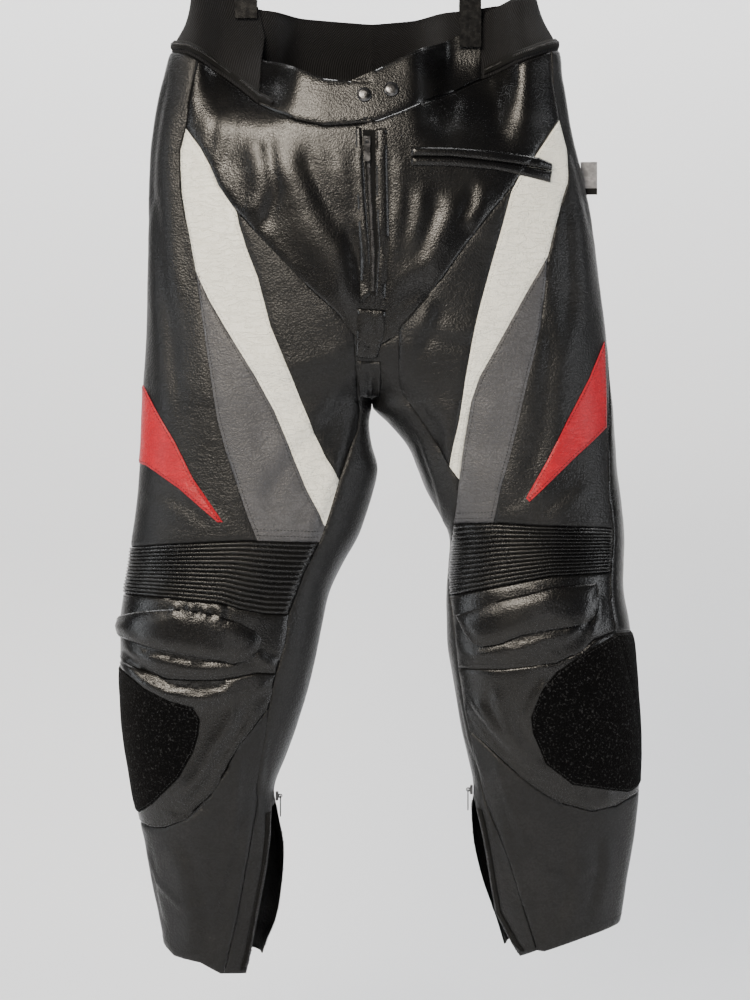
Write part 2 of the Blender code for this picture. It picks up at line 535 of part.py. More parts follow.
class Sheet:
    """One half's pattern, as triangles between its seams."""

    def __init__(self, side):
        self.side = side
        self.points = []
        self.index = {}
        self.edges = []
        self.kind = []
        for line in SEAMS[side].values():
            self.draw(sheet_line(side, line), "cut")
        for end in (-1, 1):
            self.draw([(end * SHEET_WIDTH, d) for d in centre_drops()], "cut")
        self.outlines = {}
        for name, entry in OVERLAYS[side].items():
            self.outline(name, entry[0])
        for name, entry in BRIDGES.items():
            self.outline(name, entry[side])
        self.draw_outline("waist_zip", waist_zip_outline(side))
        if side == "R":
            self.outline("waist_lap", WAIST_LAP)
        for line in rib_lines(side):
            self.draw(line, "guide")
        self.draw_clip_guides()
        self.crests = []
        for crest, height in FOLDS[side].values():
            line = sheet_line(side, crest)
            self.draw(line, "guide")
            spots = [surface(side, a / SHEET_WIDTH, d) for a, d in line]
            self.crests.append((spots, height))
        self.fill()
        self.cut()

    def draw(self, line, kind):
        """Add a line to the sheet; points that fall together are one."""
        ids = []
        for a, d in line:
            key = (round(a, 2) + 0.0, round(d, 2))
            if key not in self.index:
                self.index[key] = len(self.points)
                self.points.append(key)
            ids.append(self.index[key])
        for a, b in zip(ids, ids[1:]):
            if a != b:
                self.edges.append((a, b))
                self.kind.append(kind)

    def outline(self, name, points):
        self.draw_outline(name, sheet_line(self.side, points + points[:1])[:-1])

    def draw_outline(self, name, points):
        """An outline; its stretch along the centre line is already drawn."""
        self.outlines[name] = points
        for a, b in zip(points, points[1:] + points[:1]):
            if min(a[0], b[0]) < SHEET_WIDTH - 0.01:
                self.draw(split_line([a, b], LINE_STEP), "guide")

    def draw_clip_guides(self):
        side = self.side
        for way in (1, -1):
            for offset in (-CLIP_FLAT, 0.0, CLIP_FLAT):
                line = []
                for drop in range(100, int(CLIP_FOOT[side]) + 20, 12):
                    share = share_of(side, CLIP_X[side] + offset, drop)
                    line.append((way * share * SHEET_WIDTH, float(drop)))
                self.draw(line, "guide")

    def fill(self):
        """Points between the seams, clear of them."""
        drawn = list(self.points)
        near = {}
        for a, d in drawn:
            near.setdefault((int(a // 10), int(d // 10)), []).append((a, d))
        rows = int((SECTIONS[-1][0] - SECTIONS[0][0]) / GRID_DOWN)
        columns = int(2 * SHEET_WIDTH / GRID_ACROSS)
        for r in range(1, rows):
            for c in range(1, columns):
                a = -SHEET_WIDTH + 2 * SHEET_WIDTH * (c + 0.5 * (r % 2)) / columns
                d = SECTIONS[0][0] + GRID_DOWN * r
                cell = (int(a // 10), int(d // 10))
                close = [p for i in (-1, 0, 1) for j in (-1, 0, 1)
                         for p in near.get((cell[0] + i, cell[1] + j), ())]
                clear = all(math.dist(p, (a, d)) > POINT_ROOM for p in close)
                if clear and a < SHEET_WIDTH - CENTRE_ROOM:
                    self.points.append((a, d))

    def cut(self):
        verts, edges, faces, _, from_edges, _ = delaunay_2d_cdt(
            [Vector(p) for p in self.points], self.edges, [], 0, 0.0001)
        self.places = [(v.x, v.y) for v in verts]
        walls = {frozenset(e) for e, source in zip(edges, from_edges)
                 if any(self.kind[s] == "cut" for s in source)}
        self.nodes = [self.lift_point(p) for p in self.places]
        across = {}
        for f, face in enumerate(faces):
            for i in range(3):
                across.setdefault(frozenset((face[i], face[i - 1])), []).append(f)
        self.faces = faces
        self.middles = [(sum(self.places[v][0] for v in f) / 3, sum(self.places[v][1] for v in f) / 3)
                        for f in faces]
        self.panel = {}
        for name, seed in PANELS[self.side].items():
            start = self.find(on_sheet(self.side, seed))
            waiting = [start]
            while waiting:
                f = waiting.pop()
                if f in self.panel:
                    continue
                self.panel[f] = name
                for i in range(3):
                    key = frozenset((faces[f][i], faces[f][i - 1]))
                    if key not in walls:
                        waiting += [g for g in across[key] if g not in self.panel]

    def find(self, place):
        for f, face in enumerate(self.faces):
            if inside([self.places[v] for v in face], place):
                return f
        raise ValueError("no triangle at %s" % (place,))

    def lift_point(self, place):
        share = min(1.0, max(-1.0, place[0] / SHEET_WIDTH))
        spot = surface(self.side, share, place[1])
        out = normal_at(self.side, share, place[1])
        return (spot + out * fold_rise(share, spot, self.crests), out)

    def triangles(self, name):
        """Corner lists (face point, direction, place on the sheet) of a panel or an outline."""
        if name in self.outlines:
            chosen = [f for f, m in enumerate(self.middles)
                      if inside(self.outlines[name], m) and f in self.panel]
        else:
            chosen = [f for f, n in self.panel.items() if n == name]
        return [[self.nodes[v] + (self.places[v],) for v in self.faces[f]] for f in sorted(chosen)]


# Solids from triangles of the sheet

def material(slot):
    found = bpy.data.materials.get(slot)
    if found:
        return found
    colour, rough, metal = COLOURS[slot]
    made = bpy.data.materials.new(slot)
    made.use_nodes = True
    shader = made.node_tree.nodes["Principled BSDF"]
    shader.inputs["Base Color"].default_value = colour + (1.0,)
    shader.inputs["Roughness"].default_value = rough
    shader.inputs["Metallic"].default_value = metal
    return made


def add_object(name, mesh, slot):
    item = bpy.data.objects.new(name, mesh)
    PARTS.objects.link(item)
    mesh.materials.clear()
    mesh.materials.append(material(slot))
    return item


def rim_shifts(corners, triangles):
    """For each corner on the rim, the step that draws it back by half of a seam's gap."""
    once = {}
    for t in triangles:
        for i in range(3):
            once[(t[i], t[(i + 1) % 3])] = True
    rim = [e for e in once if (e[1], e[0]) not in once]
    pulls = {}
    for a, b in rim:
        way = (corners[b][0] - corners[a][0]).normalized()
        for v in (a, b):
            pulls.setdefault(v, []).append(corners[v][1].cross(way).normalized())
    shifts = {}
    for v, sides in pulls.items():
        total = sum(sides, Vector())
        shifts[v] = total * (SEAM_GAP / 2) * len(sides) / 2 / max(0.02, 0.5 * total.length_squared)
        if shifts[v].length > LONGEST_PULL:
            shifts[v] = shifts[v].normalized() * LONGEST_PULL
    return rim, shifts


def make_solid(name, triangles, inner, outer):
    """A closed wall: inner is an offset along the face's direction, outer one that may change by
    the corner's place on the sheet."""
    index = {}
    corners = []
    faces = []
    for corner_list in triangles:
        face = []
        for point, direction, place in corner_list:
            on_centre = abs(place[0]) > SHEET_WIDTH - 0.01 and place[1] < CROTCH_DROP
            # points on the centre line belong to both halves, all others to their own
            half = "centre" if on_centre else point.x > CENTRE_X
            key = (half, round(place[0], 2), round(place[1], 2))
            if key not in index:
                index[key] = len(corners)
                corners.append((point, direction, place))
            face.append(index[key])
        if len(set(face)) < 3:
            continue
        a, b, c = (corners[i] for i in face)
        if (b[0] - a[0]).cross(c[0] - a[0]).dot(a[1] + b[1] + c[1]) < 0:
            face.reverse()
        faces.append(face)
    rim, shifts = rim_shifts(corners, faces)
    count = len(corners)
    outside = []
    inside_points = []
    for i, (point, direction, place) in enumerate(corners):
        base = point + shifts.get(i, Vector())
        outside.append((base + direction * outer(place)) * MM)
        inside_points.append((base + direction * inner) * MM)
    polygons = list(faces) + [[v + count for v in reversed(f)] for f in faces]
    polygons += [[b, a, a + count, b + count] for a, b in rim]
    mesh = bpy.data.meshes.new(name)
    mesh.from_pydata(outside + inside_points, [], polygons)
    mesh.update()
    piece = name[:-2]
    add_object(name, mesh, PANEL_SLOTS[piece])


def make_panels(sheets):
    for side, sheet in sheets.items():
        for name in PANELS[side]:
            if (side, name) == ("L", "waist_front"):
                continue
            wall = PANEL_WALLS.get(name, LEATHER)
            if name == "knee_ribs":
                def outer(place, side=side):
                    return rib_rise(side, *place)
            else:
                def outer(place):
                    return 0.0
            make_solid(name + "_" + side, sheet.triangles(name), -wall, outer)


def make_overlays(sheets):
    for side, sheet in sheets.items():
        for name, (_, thick, crown) in OVERLAYS[side].items():
            outline = sheet.outlines[name]

            def outer(place, outline=outline, thick=thick, crown=crown):
                return LIFT + thick + crown * smooth(edge_distance(outline, place) / CROWN_EASE)
            make_solid(name + "_" + side, sheet.triangles(name), LIFT, outer)
        make_solid("waist_zip_" + side, sheet.triangles("waist_zip"), WAIST_ZIP_LIFT,
                   lambda place: WAIST_ZIP_LIFT + WAIST_ZIP_THICK)


def make_bridges(sheets):
    for name, entry in BRIDGES.items():
        triangles = sheets["R"].triangles(name) + sheets["L"].triangles(name)
        make_solid(name + "_C", triangles, LIFT, lambda place, t=entry["thick"]: LIFT + t)
    triangles = sheets["L"].triangles("waist_front") + sheets["R"].triangles("waist_lap")
    make_solid("waist_front_L", triangles, LIFT, lambda place: LIFT + LEATHER)


# Metal and plastic pieces, built at the origin and set in place

def place_at(side, x, drop, rise, outward=None):
    """A matrix whose Z looks away from the face at a point, or along outward, with Y up."""
    share = share_of(side, x, drop)
    direction = outward or normal_at(side, share, drop)
    up = (Vector((0, 0, 1)) - direction * direction.z).normalized()
    across = up.cross(direction)
    spot = surface(side, share, drop) + direction * rise
    matrix = Matrix((across, up, direction)).transposed().to_4x4()
    matrix.translation = spot * MM
    return matrix


def turned(name, profile, matrix, slot):
    """A solid of revolution about Z from a profile of (radius, height) in millimetres."""
    mesh = bpy.data.meshes.new(name)
    points = [(r * MM, 0, h * MM) for r, h in profile]
    mesh.from_pydata(points, [(i, i + 1) for i in range(len(points) - 1)], [])
    item = add_object(name, mesh, slot)
    screw = item.modifiers.new("turn", "SCREW")
    screw.steps = screw.render_steps = TURN_STEPS
    screw.use_merge_vertices = True
    screw.merge_threshold = 0.00001
    item.matrix_world = matrix
    return item


def plate(name, outlines, half, matrix, slot):
    """A flat plate in its own XY plane, cut from outlines in millimetres; inner ones are holes."""
    curve = bpy.data.curves.new(name, "CURVE")
    curve.dimensions = "2D"
    curve.fill_mode = "BOTH"
    curve.extrude = half * MM
    for outline in outlines:
        line = curve.splines.new("POLY")
        line.points.add(len(outline) - 1)
        for point, (x, y) in zip(line.points, outline):
            point.co = (x * MM, y * MM, 0, 1)
        line.use_cyclic_u = True
    helper = bpy.data.objects.new(name + "_curve", curve)
    CUTTERS.objects.link(helper)
    graph = bpy.context.evaluated_depsgraph_get()
    mesh = bpy.data.meshes.new_from_object(helper.evaluated_get(graph))
    bpy.data.objects.remove(helper, do_unlink=True)
    shape = bmesh.new()
    shape.from_mesh(mesh)
    bmesh.ops.remove_doubles(shape, verts=shape.verts, dist=0.000005)
    bmesh.ops.recalc_face_normals(shape, faces=shape.faces)
    shape.to_mesh(mesh)
    shape.free()
    item = add_object(name, mesh, slot)
    item.matrix_world = matrix
    return item


def block(name, size, matrix, slot, bevel):
    bpy.ops.mesh.primitive_cube_add(size=1.0)
    item = bpy.context.object
    item.name = name
    for owner in list(item.users_collection):
        owner.objects.unlink(item)
    PARTS.objects.link(item)
    item.data.transform(Matrix.Diagonal(Vector([s * MM for s in size] + [1.0])))
    item.data.materials.append(material(slot))
    round_off = item.modifiers.new("edges", "BEVEL")
    round_off.width = bevel * MM
    round_off.segments = 2
    item.matrix_world = matrix
    return item


def circle(radius, count, x=0.0, y=0.0):
    return [(x + radius * math.cos(2 * math.pi * k / count),
             y + radius * math.sin(2 * math.pi * k / count)) for k in range(count)]


# A slider lies on the tape; its lug carries the pull, whose top bar runs in the lug's hole
SLIDER_SIZE = (8.0, 10.0, 3.0)
LUG_HALF = 1.1
LUG_HOLE = 1.25
LUG_OUTER = 2.2
PULL_AXIS_RISE = 5.2      # from the slider's underside to the pull's axis
PULL_BAR = 0.65
PULL_WIDTH = 7.0
PULL_LENGTH = 23.0
PULL_SLOT = (1.7, 3.9)    # half width and foot of the slot below the axis
TURN_STEPS = 24
TAPE_THICK = 0.8
ANKLE_RISE = 1.3
INNERMOST = 400.0         # further in than the leg, so the inner side line is meant
# Sliders: half, x, drop, rise over the panel, and the way they face
SLIDERS = {
    "fly": ("R", 8.0, 274.0, 2 * LIFT + TAPE_THICK, (0, -1, 0)),
    "ankle_R": ("R", INNERMOST, 985.0, ANKLE_RISE, (1, 0, 0)),
    "ankle_L": ("L", -INNERMOST, 978.0, ANKLE_RISE, (-1, 0, 0)),
}


def zip_end(name, matrix):
    """Slider with a lug, and its pull tab hanging from it."""
    size = SLIDER_SIZE
    body = block(name + "_slider", size, matrix @ Matrix.Translation((0, 0, size[2] / 2 * MM)),
                 "gunmetal", 0.8)
    rim = [(LUG_OUTER * math.cos(a), PULL_AXIS_RISE + LUG_OUTER * math.sin(a))
           for a in [math.pi * k / 10 for k in range(11)]]
    outline = rim + [(-LUG_OUTER, 1.2), (LUG_OUTER, 1.2)]
    turned_side = matrix @ Matrix(((0, 0, 1, 0), (1, 0, 0, 0), (0, 1, 0, 0), (0, 0, 0, 1)))
    lug = plate(name + "_lug", [outline, circle(LUG_HOLE, 16, 0, PULL_AXIS_RISE)], LUG_HALF,
                turned_side, "gunmetal")
    PARTS.objects.unlink(lug)
    CUTTERS.objects.link(lug)
    lug.hide_render = True
    lug.display_type = "WIRE"
    join = body.modifiers.new("lug", "BOOLEAN")
    join.operation = "UNION"
    join.object = lug
    axis = matrix @ Matrix.Translation((0, 0, PULL_AXIS_RISE * MM))
    w = PULL_WIDTH / 2
    slot_half, slot_foot = PULL_SLOT
    foot = [(w * math.cos(a), -PULL_LENGTH + w + w * math.sin(a))
            for a in [math.pi * (1 + k / 8) for k in range(9)]]
    pull_outline = foot + [(w * 0.8, PULL_BAR), (-w * 0.8, PULL_BAR)]
    hole = [(-slot_half, -PULL_BAR), (slot_half, -PULL_BAR), (slot_half, -slot_foot),
            (-slot_half, -slot_foot)]
    plate(name + "_pull", [pull_outline, hole], PULL_BAR, axis, "gunmetal")


SNAP_PROFILE = [(0.0, 3.2), (3.0, 3.0), (5.5, 2.5), (7.2, 1.7), (8.0, 0.7), (7.8, 0.0), (0.0, 0.0)]
SNAPS = {"snap_outer": ("R", 5, 224), "snap_inner": ("L", 34, 218)}
TAG_SIZE = (13.0, 1.2, 36.0)
TAG_SPOT = (254.5, 4.0, 306.0)


def make_fasteners():
    for name, (side, x, drop) in SNAPS.items():
        turned(name, SNAP_PROFILE, place_at(side, x, drop, 2 * LIFT + LEATHER), "gunmetal")
    for name, (side, x, drop, rise, outward) in SLIDERS.items():
        zip_end(name, place_at(side, x, drop, rise, Vector(outward)))
    x, y, drop = TAG_SPOT
    block("side_tag", TAG_SIZE, Matrix.Translation((x * MM, y * MM, -drop * MM)), "tag_cloth", 0.4)


# The clip hanger

RAIL_RADIUS = 3.5
RAIL_ENDS = ((-176.0, 88.0), (178.0, 97.0))
CLIP_HALF = 12.0
CLIP_WALL = 4.5
HOOK_RADIUS = 24.0
WIRE_RADIUS = 2.2
HOOK_TURN = (200.0, 12.5, 17)     # where the hook's arc starts, its step in degrees, its points
HOOK_NECK = [(22.0, 0.0, 34.0), (13.0, 0.0, 44.0), (4.0, 0.0, 52.0), (0.0, 0.0, 62.0)]
FRONT_GRIP = {"R": CLIP_GRIP + LIFT, "L": CLIP_GRIP + 2 * LIFT + LEATHER}


def wire(name, points, radius, slot):
    curve = bpy.data.curves.new(name, "CURVE")
    curve.dimensions = "3D"
    curve.bevel_depth = radius * MM
    curve.bevel_resolution = 3
    curve.use_fill_caps = True
    line = curve.splines.new("POLY")
    line.points.add(len(points) - 1)
    for point, (x, y, drop) in zip(line.points, points):
        point.co = (x * MM, y * MM, -drop * MM, 1)
    item = bpy.data.objects.new(name, curve)
    curve.materials.append(material(slot))
    PARTS.objects.link(item)
    return item


def rail_drop(x):
    (xa, da), (xb, db) = RAIL_ENDS
    return da + (db - da) * (x - xa) / (xb - xa)


def make_hanger():
    wire("hanger_rail", [(RAIL_ENDS[0][0], 0, RAIL_ENDS[0][1]), (RAIL_ENDS[1][0], 0, RAIL_ENDS[1][1])],
         RAIL_RADIUS, "hanger_steel")
    start, step, count = HOOK_TURN
    arc = [(HOOK_RADIUS * math.cos(a), 0.0, HOOK_RADIUS - HOOK_RADIUS * math.sin(a) - WIRE_RADIUS)
           for a in [math.radians(start - step * k) for k in range(count)]]
    foot = rail_drop(0) - RAIL_RADIUS - SEAM_GAP
    wire("hanger_hook", arc + HOOK_NECK + [(0.0, 0.0, foot)], WIRE_RADIUS, "hanger_steel")
    for side, x in CLIP_X.items():
        centre = rail_drop(x)
        front = FRONT_GRIP[side]
        back = CLIP_GRIP + LIFT
        foot = CLIP_FOOT[side] - centre
        roof = RAIL_RADIUS + 2.0
        top = RAIL_RADIUS + 3.0
        outline = [(-6.0, top), (6.0, top), (9.0, 2.0), (back + CLIP_WALL + 1, -roof - 4),
                   (back + CLIP_WALL, -foot), (back, -foot), (back, -roof), (-front, -roof),
                   (-front, -foot), (-front - CLIP_WALL, -foot), (-front - CLIP_WALL - 1, -roof - 4),
                   (-9.0, 2.0)]
        # the plate's own X is the garment's depth, its Y is up, its thickness runs along the rail
        matrix = Matrix(((0, 0, 1, x * MM), (1, 0, 0, 0), (0, 1, 0, -centre * MM), (0, 0, 0, 1)))
        plate("clip_" + side, [outline, circle(RAIL_RADIUS + 0.6, 20)], CLIP_HALF, matrix,
              "hanger_plastic")


clear_scene()
PARTS = bpy.data.collections.new("leather_pants")
CUTTERS = bpy.data.collections.new("cutters")
bpy.context.scene.collection.children.link(PARTS)
bpy.context.scene.collection.children.link(CUTTERS)
half_sheets = {"R": Sheet("R"), "L": Sheet("L")}
make_panels(half_sheets)
make_overlays(half_sheets)
make_bridges(half_sheets)
make_fasteners()
make_hanger()
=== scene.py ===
# %% [markdown]
# # Leather riding pants on a clip hanger
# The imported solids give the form. This lesson dresses them: every leather panel is made again as
# a fine shell with creases, sunk seams and stitches, and gets a material with a real grain.
# All lengths in the tables are millimetres, x to the right as seen from the front, drop downwards
# from the crown of the hanger's hook. Meshes are made in metres.

# %% Load the frame
import json
import math
import os

import bmesh
import bpy
import numpy as np
from mathutils import Vector, kdtree, noise
from mathutils.bvhtree import BVHTree
from mathutils.geometry import delaunay_2d_cdt
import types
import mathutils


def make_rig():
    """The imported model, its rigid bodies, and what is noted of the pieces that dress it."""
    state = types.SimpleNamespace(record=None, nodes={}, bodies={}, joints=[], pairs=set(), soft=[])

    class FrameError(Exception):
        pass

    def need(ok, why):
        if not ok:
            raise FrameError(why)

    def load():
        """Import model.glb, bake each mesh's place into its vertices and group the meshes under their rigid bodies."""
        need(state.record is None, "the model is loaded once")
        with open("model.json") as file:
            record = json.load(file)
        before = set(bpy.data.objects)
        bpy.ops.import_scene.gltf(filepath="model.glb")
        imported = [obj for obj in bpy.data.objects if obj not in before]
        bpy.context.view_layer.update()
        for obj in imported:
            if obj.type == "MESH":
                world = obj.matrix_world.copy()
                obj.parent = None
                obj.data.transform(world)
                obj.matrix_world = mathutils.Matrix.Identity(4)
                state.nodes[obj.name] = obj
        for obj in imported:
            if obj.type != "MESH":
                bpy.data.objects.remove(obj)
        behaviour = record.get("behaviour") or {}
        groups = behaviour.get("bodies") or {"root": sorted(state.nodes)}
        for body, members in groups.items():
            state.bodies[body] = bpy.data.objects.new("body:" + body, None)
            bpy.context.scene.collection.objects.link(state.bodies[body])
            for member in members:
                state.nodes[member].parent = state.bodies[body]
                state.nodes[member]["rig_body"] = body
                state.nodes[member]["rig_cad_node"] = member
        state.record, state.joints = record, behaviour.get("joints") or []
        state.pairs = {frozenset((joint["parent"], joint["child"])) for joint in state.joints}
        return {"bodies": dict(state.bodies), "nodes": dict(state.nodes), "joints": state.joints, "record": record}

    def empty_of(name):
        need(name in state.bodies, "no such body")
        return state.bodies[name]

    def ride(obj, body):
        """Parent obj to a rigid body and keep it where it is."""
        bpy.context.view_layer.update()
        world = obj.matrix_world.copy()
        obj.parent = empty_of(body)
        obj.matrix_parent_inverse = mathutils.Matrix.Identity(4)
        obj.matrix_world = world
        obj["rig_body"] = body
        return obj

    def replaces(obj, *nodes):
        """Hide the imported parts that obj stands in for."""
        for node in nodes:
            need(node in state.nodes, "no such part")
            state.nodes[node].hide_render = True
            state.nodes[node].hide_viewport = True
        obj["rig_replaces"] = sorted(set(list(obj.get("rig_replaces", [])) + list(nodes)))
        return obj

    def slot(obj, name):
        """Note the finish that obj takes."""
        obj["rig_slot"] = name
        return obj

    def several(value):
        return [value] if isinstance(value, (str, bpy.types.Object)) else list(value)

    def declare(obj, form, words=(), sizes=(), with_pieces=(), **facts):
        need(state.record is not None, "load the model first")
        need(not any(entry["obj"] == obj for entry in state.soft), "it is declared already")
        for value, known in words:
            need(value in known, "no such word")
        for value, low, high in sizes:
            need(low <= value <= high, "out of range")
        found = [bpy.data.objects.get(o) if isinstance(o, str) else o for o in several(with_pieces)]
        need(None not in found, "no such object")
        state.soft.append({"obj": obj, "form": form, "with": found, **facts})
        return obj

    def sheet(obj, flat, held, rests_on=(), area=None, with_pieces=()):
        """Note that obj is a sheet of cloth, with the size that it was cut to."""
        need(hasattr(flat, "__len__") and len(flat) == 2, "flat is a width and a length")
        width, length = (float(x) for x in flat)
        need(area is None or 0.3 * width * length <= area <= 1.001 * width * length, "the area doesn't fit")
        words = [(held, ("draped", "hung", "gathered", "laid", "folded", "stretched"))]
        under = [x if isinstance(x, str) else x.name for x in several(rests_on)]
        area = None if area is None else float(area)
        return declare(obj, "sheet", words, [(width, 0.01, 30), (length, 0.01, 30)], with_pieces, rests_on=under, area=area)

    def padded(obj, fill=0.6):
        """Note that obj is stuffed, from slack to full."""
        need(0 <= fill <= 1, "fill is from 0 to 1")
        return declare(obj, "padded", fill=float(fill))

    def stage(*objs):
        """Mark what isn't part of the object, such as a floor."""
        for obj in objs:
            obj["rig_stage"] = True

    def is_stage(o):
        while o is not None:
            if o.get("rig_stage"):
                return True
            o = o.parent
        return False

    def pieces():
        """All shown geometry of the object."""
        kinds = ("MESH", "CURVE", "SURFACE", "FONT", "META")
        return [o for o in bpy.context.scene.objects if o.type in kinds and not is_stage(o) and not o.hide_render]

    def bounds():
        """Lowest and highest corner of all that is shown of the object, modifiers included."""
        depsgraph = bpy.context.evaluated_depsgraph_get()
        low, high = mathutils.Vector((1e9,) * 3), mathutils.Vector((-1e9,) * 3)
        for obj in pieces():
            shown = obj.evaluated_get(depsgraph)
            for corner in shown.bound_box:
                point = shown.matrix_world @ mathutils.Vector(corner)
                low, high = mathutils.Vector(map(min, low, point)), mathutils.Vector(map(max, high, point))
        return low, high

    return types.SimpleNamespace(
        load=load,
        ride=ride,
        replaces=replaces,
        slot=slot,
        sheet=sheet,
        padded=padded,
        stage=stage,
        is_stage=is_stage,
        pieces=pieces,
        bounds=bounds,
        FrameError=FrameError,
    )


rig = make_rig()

for item in list(bpy.data.objects):
    bpy.data.objects.remove(item, do_unlink=True)
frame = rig.load()
cad_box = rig.bounds()
scene_root = bpy.context.scene.collection
MM = 0.001
print("bodies", sorted(frame["bodies"]), "box", cad_box)

# %% [markdown]
# ## Camera, light and floor
# The photo looks straight at the pants from about mid height. One pixel is 1.1 mm at the pants,
# so the frame takes in 825 by 1100 mm. A long lens from 3.4 m keeps the legs' sides parallel.
# Black leather shows only what it mirrors, so the light is a few large soft panels: one high at
# the front for the broad highlights on the hips, and one on each side for the outlines.

# %% Camera
PIXEL = 1.1
VIEW_CENTRE = (16.5, 660.0)
VIEW_HEIGHT = 1000 * PIXEL
CAMERA_AWAY = 3.4
SENSOR = 36.0

camera_data = bpy.data.cameras.new("photo_view")
camera_data.sensor_fit = "VERTICAL"
camera_data.sensor_height = SENSOR
camera_data.lens = SENSOR * CAMERA_AWAY / (VIEW_HEIGHT * MM)
camera_object = bpy.data.objects.new("photo_view", camera_data)
camera_object.location = (VIEW_CENTRE[0] * MM, -CAMERA_AWAY, -VIEW_CENTRE[1] * MM)
camera_object.rotation_euler = (math.radians(90), 0, 0)
scene_root.objects.link(camera_object)
bpy.context.scene.camera = camera_object
print("lens", round(camera_data.lens, 1), "mm")

# %% Lights, as name: place, size, power, colour
SOFTBOXES = {
    "key_high": ((-0.9, -2.3, 0.9), (1.3, 0.7), 118.0, (1.0, 0.90, 0.76)),
    "side_left": ((-2.1, -0.8, -0.5), (0.35, 1.7), 17.0, (0.92, 0.96, 1.0)),
    "side_right": ((2.2, -1.0, -0.5), (0.35, 1.7), 20.0, (0.95, 0.97, 1.0)),
    "low_front": ((0.5, -2.9, -0.9), (0.9, 0.4), 6.0, (1.0, 0.98, 0.96)),
    "wall_wash": ((0.0, 0.55, 1.3), (3.4, 0.5), 110.0, (1.0, 1.0, 1.0)),
}
WALL_TARGET = Vector((0.0, 1.6, -0.6))
LIGHT_TARGET = Vector((0.0, 0.0, -0.62))
for name, (spot, size, power, colour) in SOFTBOXES.items():
    data = bpy.data.lights.new(name, "AREA")
    data.shape = "RECTANGLE"
    data.size, data.size_y = size
    data.energy = power
    data.color = colour
    lamp = bpy.data.objects.new(name, data)
    lamp.location = spot
    target = WALL_TARGET if name == "wall_wash" else LIGHT_TARGET
    lamp.rotation_euler = (target - Vector(spot)).to_track_quat("-Z", "Y").to_euler()
    scene_root.objects.link(lamp)


# %% Helpers for shader nodes
def make_node(tree, kind, inputs=None, **settings):
    """A shader node with its settings; each input is given a value or is linked from a socket."""
    node = tree.nodes.new("ShaderNode" + kind)
    for label, value in settings.items():
        setattr(node, label, value)
    set_inputs(tree, node, inputs or {})
    return node


def set_inputs(tree, node, inputs):
    for label, value in inputs.items():
        if isinstance(value, bpy.types.NodeSocket):
            tree.links.new(value, node.inputs[label])
        else:
            node.inputs[label].default_value = value


def math_node(tree, operation, *values):
    """A Math node on sockets or numbers; returns its output."""
    return make_node(tree, "Math", dict(enumerate(values)), operation=operation).outputs[0]


def ramp_node(tree, source, stops):
    """A grey ramp over a value; stops are (place, grey) pairs."""
    node = make_node(tree, "ValToRGB", {0: source})
    for element, (place, grey) in zip(node.color_ramp.elements, stops):
        element.position = place
        element.color = (grey, grey, grey, 1)
    return node.outputs[0]


def mix_colour(tree, factor, low, high):
    """A colour between two, which are tuples or sockets; returns the output."""
    low, high = (v + (1.0,) if isinstance(v, tuple) else v for v in (low, high))
    return make_node(tree, "Mix", {0: factor, 6: low, 7: high}, data_type="RGBA").outputs[2]


def new_group(name, inputs, outputs):
    """A shader group with named inputs and outputs; returns the group, its in and out nodes."""
    group = bpy.data.node_groups.new(name, "ShaderNodeTree")
    for label, kind, value in inputs:
        socket = group.interface.new_socket(name=label, in_out="INPUT", socket_type=kind)
        if value is not None:
            socket.default_value = value
    for label in outputs:
        group.interface.new_socket(name=label, in_out="OUTPUT", socket_type=FLOAT)
    return group, group.nodes.new("NodeGroupInput"), group.nodes.new("NodeGroupOutput")


def new_material(name):
    """A material with its node tree, its shader and the object's coordinates."""
    made = bpy.data.materials.new(name)
    made.use_nodes = True
    tree = made.node_tree
    where = tree.nodes.new("ShaderNodeTexCoord").outputs["Object"]
    return made, tree, tree.nodes["Principled BSDF"], where


def relief(tree, shader, height, strength, **distance):
    """Bump from a height, on a shader's normal; Distance can be given by name."""
    bump = make_node(tree, "Bump", {"Strength": strength, "Height": height, **distance})
    tree.links.new(bump.outputs["Normal"], shader.inputs["Normal"])


FLOAT = "NodeSocketFloat"
VECTOR = "NodeSocketVector"

# %% The room's light: dim for the leather to mirror, pale where the camera looks past the floor
SKY_COLOUR = (0.62, 0.64, 0.67, 1)
SKY_LIGHT = 0.085
SKY_SEEN = 0.95
world = bpy.data.worlds.new("studio")
world.use_nodes = True
sky_rays = make_node(world.node_tree, "LightPath")
sky_level = make_node(world.node_tree, "MapRange", {"Value": sky_rays.outputs["Is Camera Ray"],
                                                    "To Min": SKY_LIGHT, "To Max": SKY_SEEN})
set_inputs(world.node_tree, world.node_tree.nodes["Background"],
           {"Color": SKY_COLOUR, "Strength": sky_level.outputs["Result"]})
bpy.context.scene.world = world

# %% Floor and backdrop in one sweep, which lets the view through from behind
FLOOR_DROP = 1330.0
FLOOR_FRONT = -3.0
FLOOR_HALF = 6.0
WALL_TOP = 4.0
SWEEP_RADIUS = 0.6
WALL_AWAY = 1.6
profile = [(FLOOR_FRONT, 0.0), (WALL_AWAY - SWEEP_RADIUS, 0.0)]
for step in range(1, 13):
    turned = math.radians(7.5 * step)
    profile.append((WALL_AWAY - SWEEP_RADIUS + SWEEP_RADIUS * math.sin(turned),
                    SWEEP_RADIUS * (1 - math.cos(turned))))
profile.append((WALL_AWAY, WALL_TOP))
sweep = bmesh.new()
rows = [[sweep.verts.new((x, y, z - FLOOR_DROP * MM)) for x in (-FLOOR_HALF, FLOOR_HALF)]
        for y, z in profile]
for low, high in zip(rows, rows[1:]):
    sweep.faces.new((low[0], low[1], high[1], high[0]))
sweep_mesh = bpy.data.meshes.new("floor")
sweep.to_mesh(sweep_mesh)
sweep.free()
sweep_mesh.shade_smooth()
floor = bpy.data.objects.new("floor", sweep_mesh)
